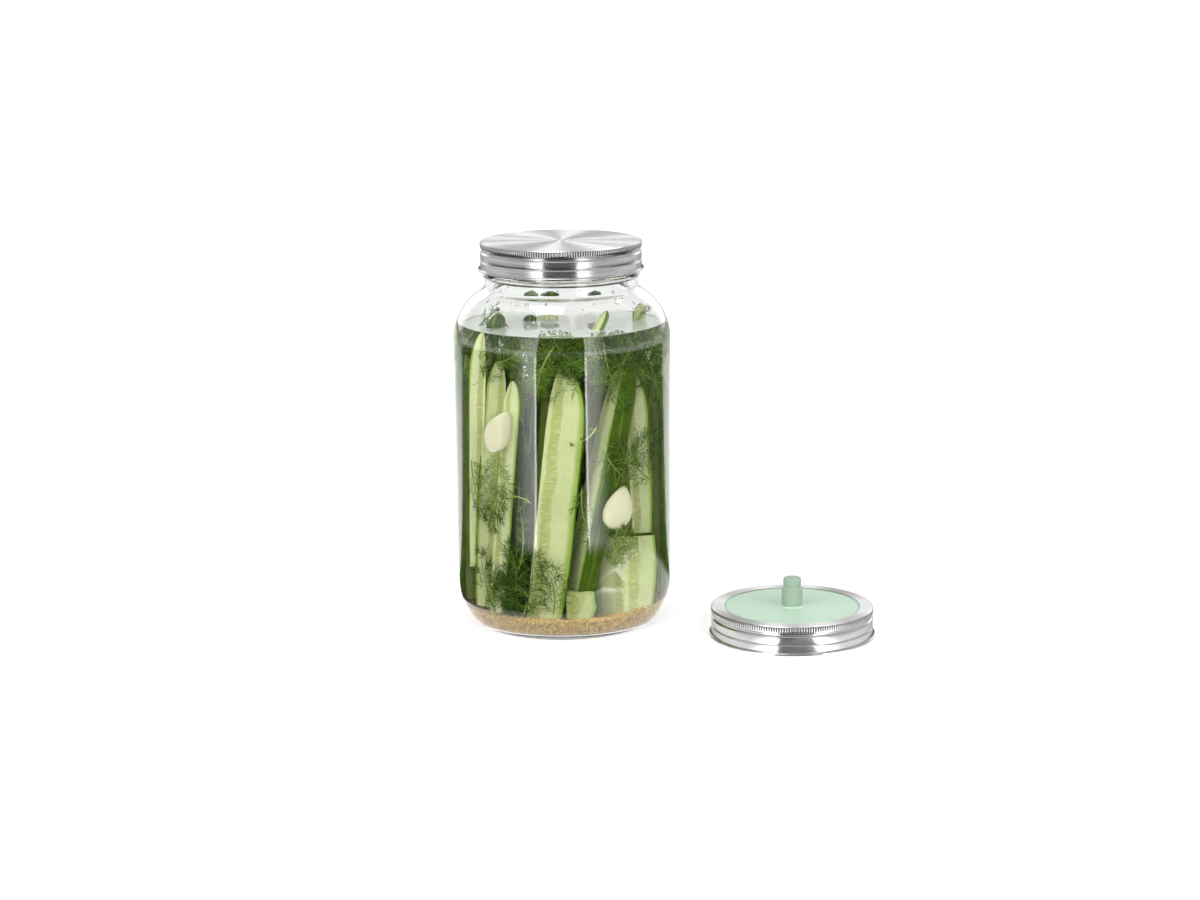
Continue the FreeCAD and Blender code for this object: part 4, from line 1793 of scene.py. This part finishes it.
# --- Lids ---
@dataclass
class PressedLid:
    """A lid pressed from sheet steel: a flat top, knurled edge, groove, ribs and rolled hem, closed or as a band."""

    centre: Pair
    foot: float
    opening: float = 0.0
    sheet: float = 0.5
    skirt: float = 54.6
    height: float = 19.8
    bend: float = 0.8
    top_bend: float = 0.5
    teeth: int = 200
    tooth_depth: float = 0.3
    knurl_high: float = 19.2
    knurl_low: float = 15.4
    groove_depth: float = 1.1
    groove_height: float = 1.4
    rib_height: float = 4.2
    crease: float = 0.7
    ramp: float = 0.9
    flare: float = 0.5
    flare_height: float = 1.0
    curl: float = 0.9
    curl_sweep: float = 265.0

    def inner_path(self) -> Array:
        """The sheet's inner face from its opening or axis, out under the top, down the skirt and round the curl.

        Returns:
            Its points. The rows that the teeth need are added between the top's bend and the knurl's foot.
        """
        under = self.height - self.sheet
        groove_high = self.knurl_low - self.ramp
        groove_low = groove_high - self.groove_height
        rib_high = groove_low - self.ramp
        rib_low = rib_high - self.rib_height
        crease = rib_low - self.ramp
        skirt, waist = self.skirt, self.skirt - self.groove_depth
        corners = [
            (self.opening, under),
            (skirt, under),
            (skirt, self.knurl_low),
            (waist, groove_high),
            (waist, groove_low),
            (skirt, rib_high),
            (skirt, rib_low),
            (skirt - self.crease, crease),
            (skirt, crease - self.ramp),
            (skirt, self.curl + self.flare_height),
            (skirt + self.flare, self.curl),
        ]
        radii = [self.top_bend] + [self.bend] * (len(corners) - 3)
        path = rounded_path(corners, radii, 4)
        first = np.linspace(self.opening, skirt - self.top_bend - 0.5, 8)
        top = np.column_stack((first, np.full(8, under)))
        knurled = line_points((skirt, under - self.top_bend - 0.1), (skirt, self.knurl_low + 0.6), 6)
        centre = (skirt + self.flare + self.curl, self.curl)
        curl = arc_points(centre, (self.curl, self.curl), 180, 180 + self.curl_sweep, 11)[1:]
        return np.concatenate((top, path[1:5], knurled, path[5:], curl))

    def knurl(self, angle: Array, radius: Array, height: Array) -> Array:
        """Flat teeth with straight grooves between: depth x min(1, 1 + cos(teeth x a)), tapered at their lower end.

        Args:
            angle: angle of each point.
            radius: its radius.
            height: its height.

        Returns:
            How far the steel stands out there.
        """
        outside = radius > self.skirt + self.sheet / 2
        lower = np.clip((height - self.knurl_low) / 1.2, 0, 1)
        upper = np.clip((self.knurl_high + 0.1 - height) / 0.4, 0, 1)
        tooth = np.minimum(1, 1 + np.cos(self.teeth * angle))
        return outside * lower * upper * self.tooth_depth * tooth

    def shell(self) -> Shell:
        """The lid: its sheet's section turned about the axis, and moved to its place.

        Returns:
            The closed shell, with faces numbered 0 for steel, 1 for the spun top and 2 for the knurl.
        """
        inner = self.inner_path()
        outer = offset_path(inner, self.sheet)
        outer[:, 0] = np.where(inner[:, 0] == 0, 0, outer[:, 0])
        section = np.concatenate((inner, outer[::-1]))
        radius, height = section.T
        toothed = (radius > self.skirt + self.sheet / 2) & (height > self.knurl_low) & (height < self.knurl_high)
        finish = np.where(height > self.height - 0.01, 1, 2 * toothed)
        made = lathe(section, self.teeth * 4, self.knurl, finish)
        made.points += np.array((*self.centre, self.foot))
        return made

    def build(self, name: str, finishes: Finishes) -> None:
        """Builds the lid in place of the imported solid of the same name."""
        steels = (finishes.steel, finishes.spun, finishes.knurled)
        place(self.shell(), f"{name}_steel", steels, node=name, slot="steel", sharp=50)


@dataclass
class ValveDisc:
    """The silicone disc under the fermentation lid's band, with its gas valve moulded in the middle."""

    centre: Pair
    radius: float = 54.3
    under: float = 19.3
    thickness: float = 2.0
    rim_low: float = 15.7
    rim_width: float = 6.0
    edge: float = 46.3
    valve: float = 7.2
    stem: float = 12.8
    shoulder: float = 1.1
    waist: float = 1.3
    waist_depth: float = 0.35
    head: float = 4.9
    fillet: float = 1.4
    bore: float = 3.6
    roof: float = 2.4

    def shell(self) -> Shell:
        """The disc and valve: their outline turned about the axis.

        Returns:
            The closed shell, with faces numbered 0 for the disc and 1 for the valve.
        """
        stem_high = self.under + self.stem
        waist_low = stem_high + self.shoulder
        waist_high = waist_low + self.waist
        top = waist_high + self.head
        head = self.valve - self.shoulder
        waist = head - self.waist_depth
        groove, under, rim = self.edge - 0.5, self.under, self.radius - self.rim_width
        corners = [
            (0, top),
            (head, top),
            (head, waist_high),
            (waist, waist_high - self.waist_depth),
            (waist, waist_low),
            (self.valve, stem_high),
            (self.valve, under),
            (groove - 0.9, under),
            (groove, under - 0.55),
            (groove + 0.9, under),
            (self.radius, under),
            (self.radius, self.rim_low),
            (rim, self.rim_low),
            (rim, under - self.thickness),
            (self.bore, under - self.thickness),
            (self.bore, top - self.roof),
            (0, top - self.roof),
        ]
        radii = [1.0, 0.15, 0.1, 0.1, 0.25, self.fillet, 0.3, 0.2, 0.3, 0.5, 0.5, 0.2, 0.2, 0.2, 0.4]
        profile = rounded_path(corners, radii, 6)
        on_valve = profile[:-1, 0] <= self.valve + 1e-6
        made = lathe(profile, 200, finish=(on_valve & (profile[:-1, 1] > under)).astype(int))
        made.points += np.array((*self.centre, 0.0))
        return made

    def build(self, finishes: Finishes) -> None:
        """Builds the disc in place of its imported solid."""
        silicones = (finishes.silicone, finishes.valve)
        place(self.shell(), "valve_lid_silicone", silicones, node="ferment_valve_lid", slot="silicone")


# --- Stage ---
@dataclass
class Studio:
    """A plain pale floor, a white surround, soft lamps left and right, and the camera."""

    floor_size: float = 60.0
    flag_start: float = 0.09
    flag_radius: float = 12.0
    flag_reach: float = 130.0
    flag_height: float = 0.0004
    surround: float = 0.65
    softbox_size: Pair = (1.3, 1.5)
    softbox_distance: float = 1.7
    softbox_height: float = 0.75
    camera_place: Point = (0.0, -1.8695, 0.528)
    yaw: float = 0.0136
    pitch: float = 0.2153
    roll: float = -0.009
    lens: float = 83.0

    def world(self) -> None:
        """A white surround, whose mirror image is dark straight in front, with soft panels beside it."""
        world = bpy.data.worlds.new("surround")
        bpy.context.scene.world = world
        graph = empty_graph(world)
        direction = graph.add("TexCoord").outputs["Generated"]
        parts = graph.split(direction)
        front = graph.group(Effect.PANELS, vector=direction, left=26.0, right=24.0, line=0.0, panel=2.2, side=0.4)
        path = graph.add("LightPath").outputs
        clear = graph.between(parts[1], 0.7, 0.95, 0.45, 1.0)
        edge = graph.between(parts[1], 0.6, 0.82, 0.6, 2.3)
        rim = graph.math("MULTIPLY", edge, graph.between(parts[1], 0.92, 0.98, 1, 0.45))
        behind = graph.mix(path["Is Transmission Ray"], rim, clear)
        low = graph.mix(graph.between(parts[1], -0.3, 0.1), front, behind)
        overhead = graph.between(parts[2], 0.55, 0.9, 0.75, 0.6)
        mirrored = graph.mix(graph.between(parts[2], 0.36, 0.55), low, overhead)
        first = graph.math("MAXIMUM", path["Is Glossy Ray"], path["Is Transmission Ray"])
        seen = graph.mix(first, WHITE, mirrored)
        strength = graph.mix(graph.looking(), (self.surround,) * 3 + (1,), seen)
        graph.end(graph.out("Background", Color=WHITE, Strength=strength), "OutputWorld")

    def lamp(
        self, name: str, azimuth: float, distance: float, height: float, size: Pair, power: float
    ) -> None:
        """A rectangular lamp that faces the jar and that only mirrors and glass see.

        Args:
            name: its name.
            azimuth: its direction from the jar, in degrees from the camera's side towards +X.
            distance: how far it is from the jar's axis, in metres.
            height: its height, in metres.
            size: width and height, in metres.
            power: its power, in watts.
        """
        data = bpy.data.lights.new(name, "AREA")
        data.shape = "RECTANGLE"
        data.size, data.size_y = size
        data.energy = power
        lamp = linked(name, data)
        lamp.matrix_world = self.facing(azimuth, distance, height)
        lamp.visible_diffuse = False

    def facing(self, azimuth: float, distance: float, height: float) -> Matrix:
        """The placement of a lamp that faces the jar.

        Args:
            azimuth: its direction from the jar, in degrees from the camera's side towards +X.
            distance: how far it is from the jar's axis, in metres.
            height: its height, in metres.

        Returns:
            The matrix that turns and moves it there.
        """
        angle = math.radians(azimuth)
        place = Vector((distance * math.sin(angle), -distance * math.cos(angle), height))
        turn = (Vector((0, 0, 0.13)) - place).to_track_quat("-Z", "Y")
        return Matrix.Translation(place) @ turn.to_matrix().to_4x4()

    @staticmethod
    def panel(name: str, size: Pair, finish: Material) -> bpy.types.Object:
        """A rectangle about the origin in the plane z = 0, as a part of the stage.

        Args:
            name: its name.
            size: its width and depth, in metres.
            finish: its material.

        Returns:
            The object.
        """
        x, y = size[0] / 2, size[1] / 2
        mesh = bpy.data.meshes.new(name)
        mesh.from_pydata([(-x, -y, 0), (x, -y, 0), (x, y, 0), (-x, y, 0)], [], [(0, 1, 2, 3)])
        mesh.materials.append(finish)
        made = linked(name, mesh)
        return made

    def softbox(self, name: str, azimuth: float, finish: Material) -> None:
        """A large glowing panel that faces the jar.

        Args:
            name: its name.
            azimuth: its direction from the jar, in degrees from the camera's side towards +X.
            finish: its material.
        """
        panel = self.panel(name, self.softbox_size, finish)
        panel.matrix_world = self.facing(azimuth, self.softbox_distance, self.softbox_height)
        panel.visible_camera = panel.visible_glossy = False

    def flag(self, lid: Pair) -> None:
        """A sector just over the floor in front, that only mirrors and glass see, and that hides the floor from them.

        Args:
            lid: where the loose lid lies, in metres.
        """
        angle = np.radians(np.linspace(-90 - self.flag_reach, self.flag_reach - 90, 64))
        radius = np.array((self.flag_start, self.flag_radius))[:, None]
        points = polar(radius, angle, np.array(self.flag_height)) / MM
        flag = Shell.grid(points, wrap_columns=False).build("flag", (FlagFinish(lid=lid).material(),))
        flag.visible_camera = flag.visible_diffuse = flag.visible_shadow = False

    def camera(self) -> None:
        """The camera, turned by yaw towards +X, pitched down, and rolled about its own axis."""
        angles = ((-self.yaw, "Z"), (math.pi / 2 - self.pitch, "X"), (self.roll, "Z"))
        yawed, pitched, rolled = (Matrix.Rotation(angle, 4, axis) for angle, axis in angles)
        data = bpy.data.cameras.new("camera")
        data.lens = self.lens
        data.sensor_width = 36.0
        data.clip_end = 100
        camera = linked("camera", data)
        camera.matrix_world = Matrix.Translation(self.camera_place) @ yawed @ pitched @ rolled
        bpy.context.scene.camera = camera

    def build(self, finishes: Finishes, lid: Pair) -> None:
        """Sets up everything around the object: a floor in the plane that it stands on, lamps, surround and camera.

        Args:
            finishes: the materials.
            lid: where the loose lid lies, in millimetres.
        """
        bpy.context.scene.view_settings.view_transform = "Standard"
        self.world()
        self.camera()
        self.panel("floor", (self.floor_size, self.floor_size), finishes.floor)
        self.flag((lid[0] * MM, lid[1] * MM))
        for azimuth, (name, finish) in zip((-42, 42), finishes.softboxes.items()):
            self.softbox(name, azimuth, finish)
        self.lamp("softbox_top", -90, 0.25, 1.8, (0.7, 0.6), 7.0)
        self.lamp("softbox_back", 146, 1.05, 1.6, (0.5, 0.5), 5.0)


def main() -> None:
    """Builds the object's pieces in order, then the stage."""
    logging.basicConfig(level=logging.INFO, format="%(name)s: %(message)s")
    finishes = Finishes()
    glass_high = box_mm("glass_jar")[1]
    jar = GlassJar(body_radius=round(float(glass_high[0]), 2), mouth_height=float(glass_high[2]))
    place(jar.shell(), "jar_glass", (finishes.glass,), node="glass_jar", slot="glass", sharp=35)
    brine = Brine(jar, float(box_mm("brine")[1][2]))
    place(brine.shell(), "brine_body", (finishes.brine, finishes.surface), node="brine", slot="brine", sharp=50)
    bed = MustardBed(jar)
    place(bed.core(), "mustard_core", (finishes.between_seeds,), node="mustard_seed_bed", slot="seeds")
    place(bed.seeds(), "mustard_seeds", (finishes.mustard,), slot="seeds", sharp=180)
    Pickles().build(jar, finishes)
    Garlic().build(jar, finishes)
    Dill().build(jar, brine.level, finishes)
    Floating(brine.level).build(jar, finishes)
    band_low, band_high = box_mm("ferment_band")
    beside = tuple(float(part) for part in (band_low + band_high)[:2] / 2)
    PressedLid((0.0, 0.0), float(box_mm("storage_lid")[0][2])).build("storage_lid", finishes)
    PressedLid(beside, float(band_low[2]), opening=46.3).build("ferment_band", finishes)
    ValveDisc(beside).build(finishes)
    Studio().build(finishes, beside)


if __name__ == "__main__":
    main()
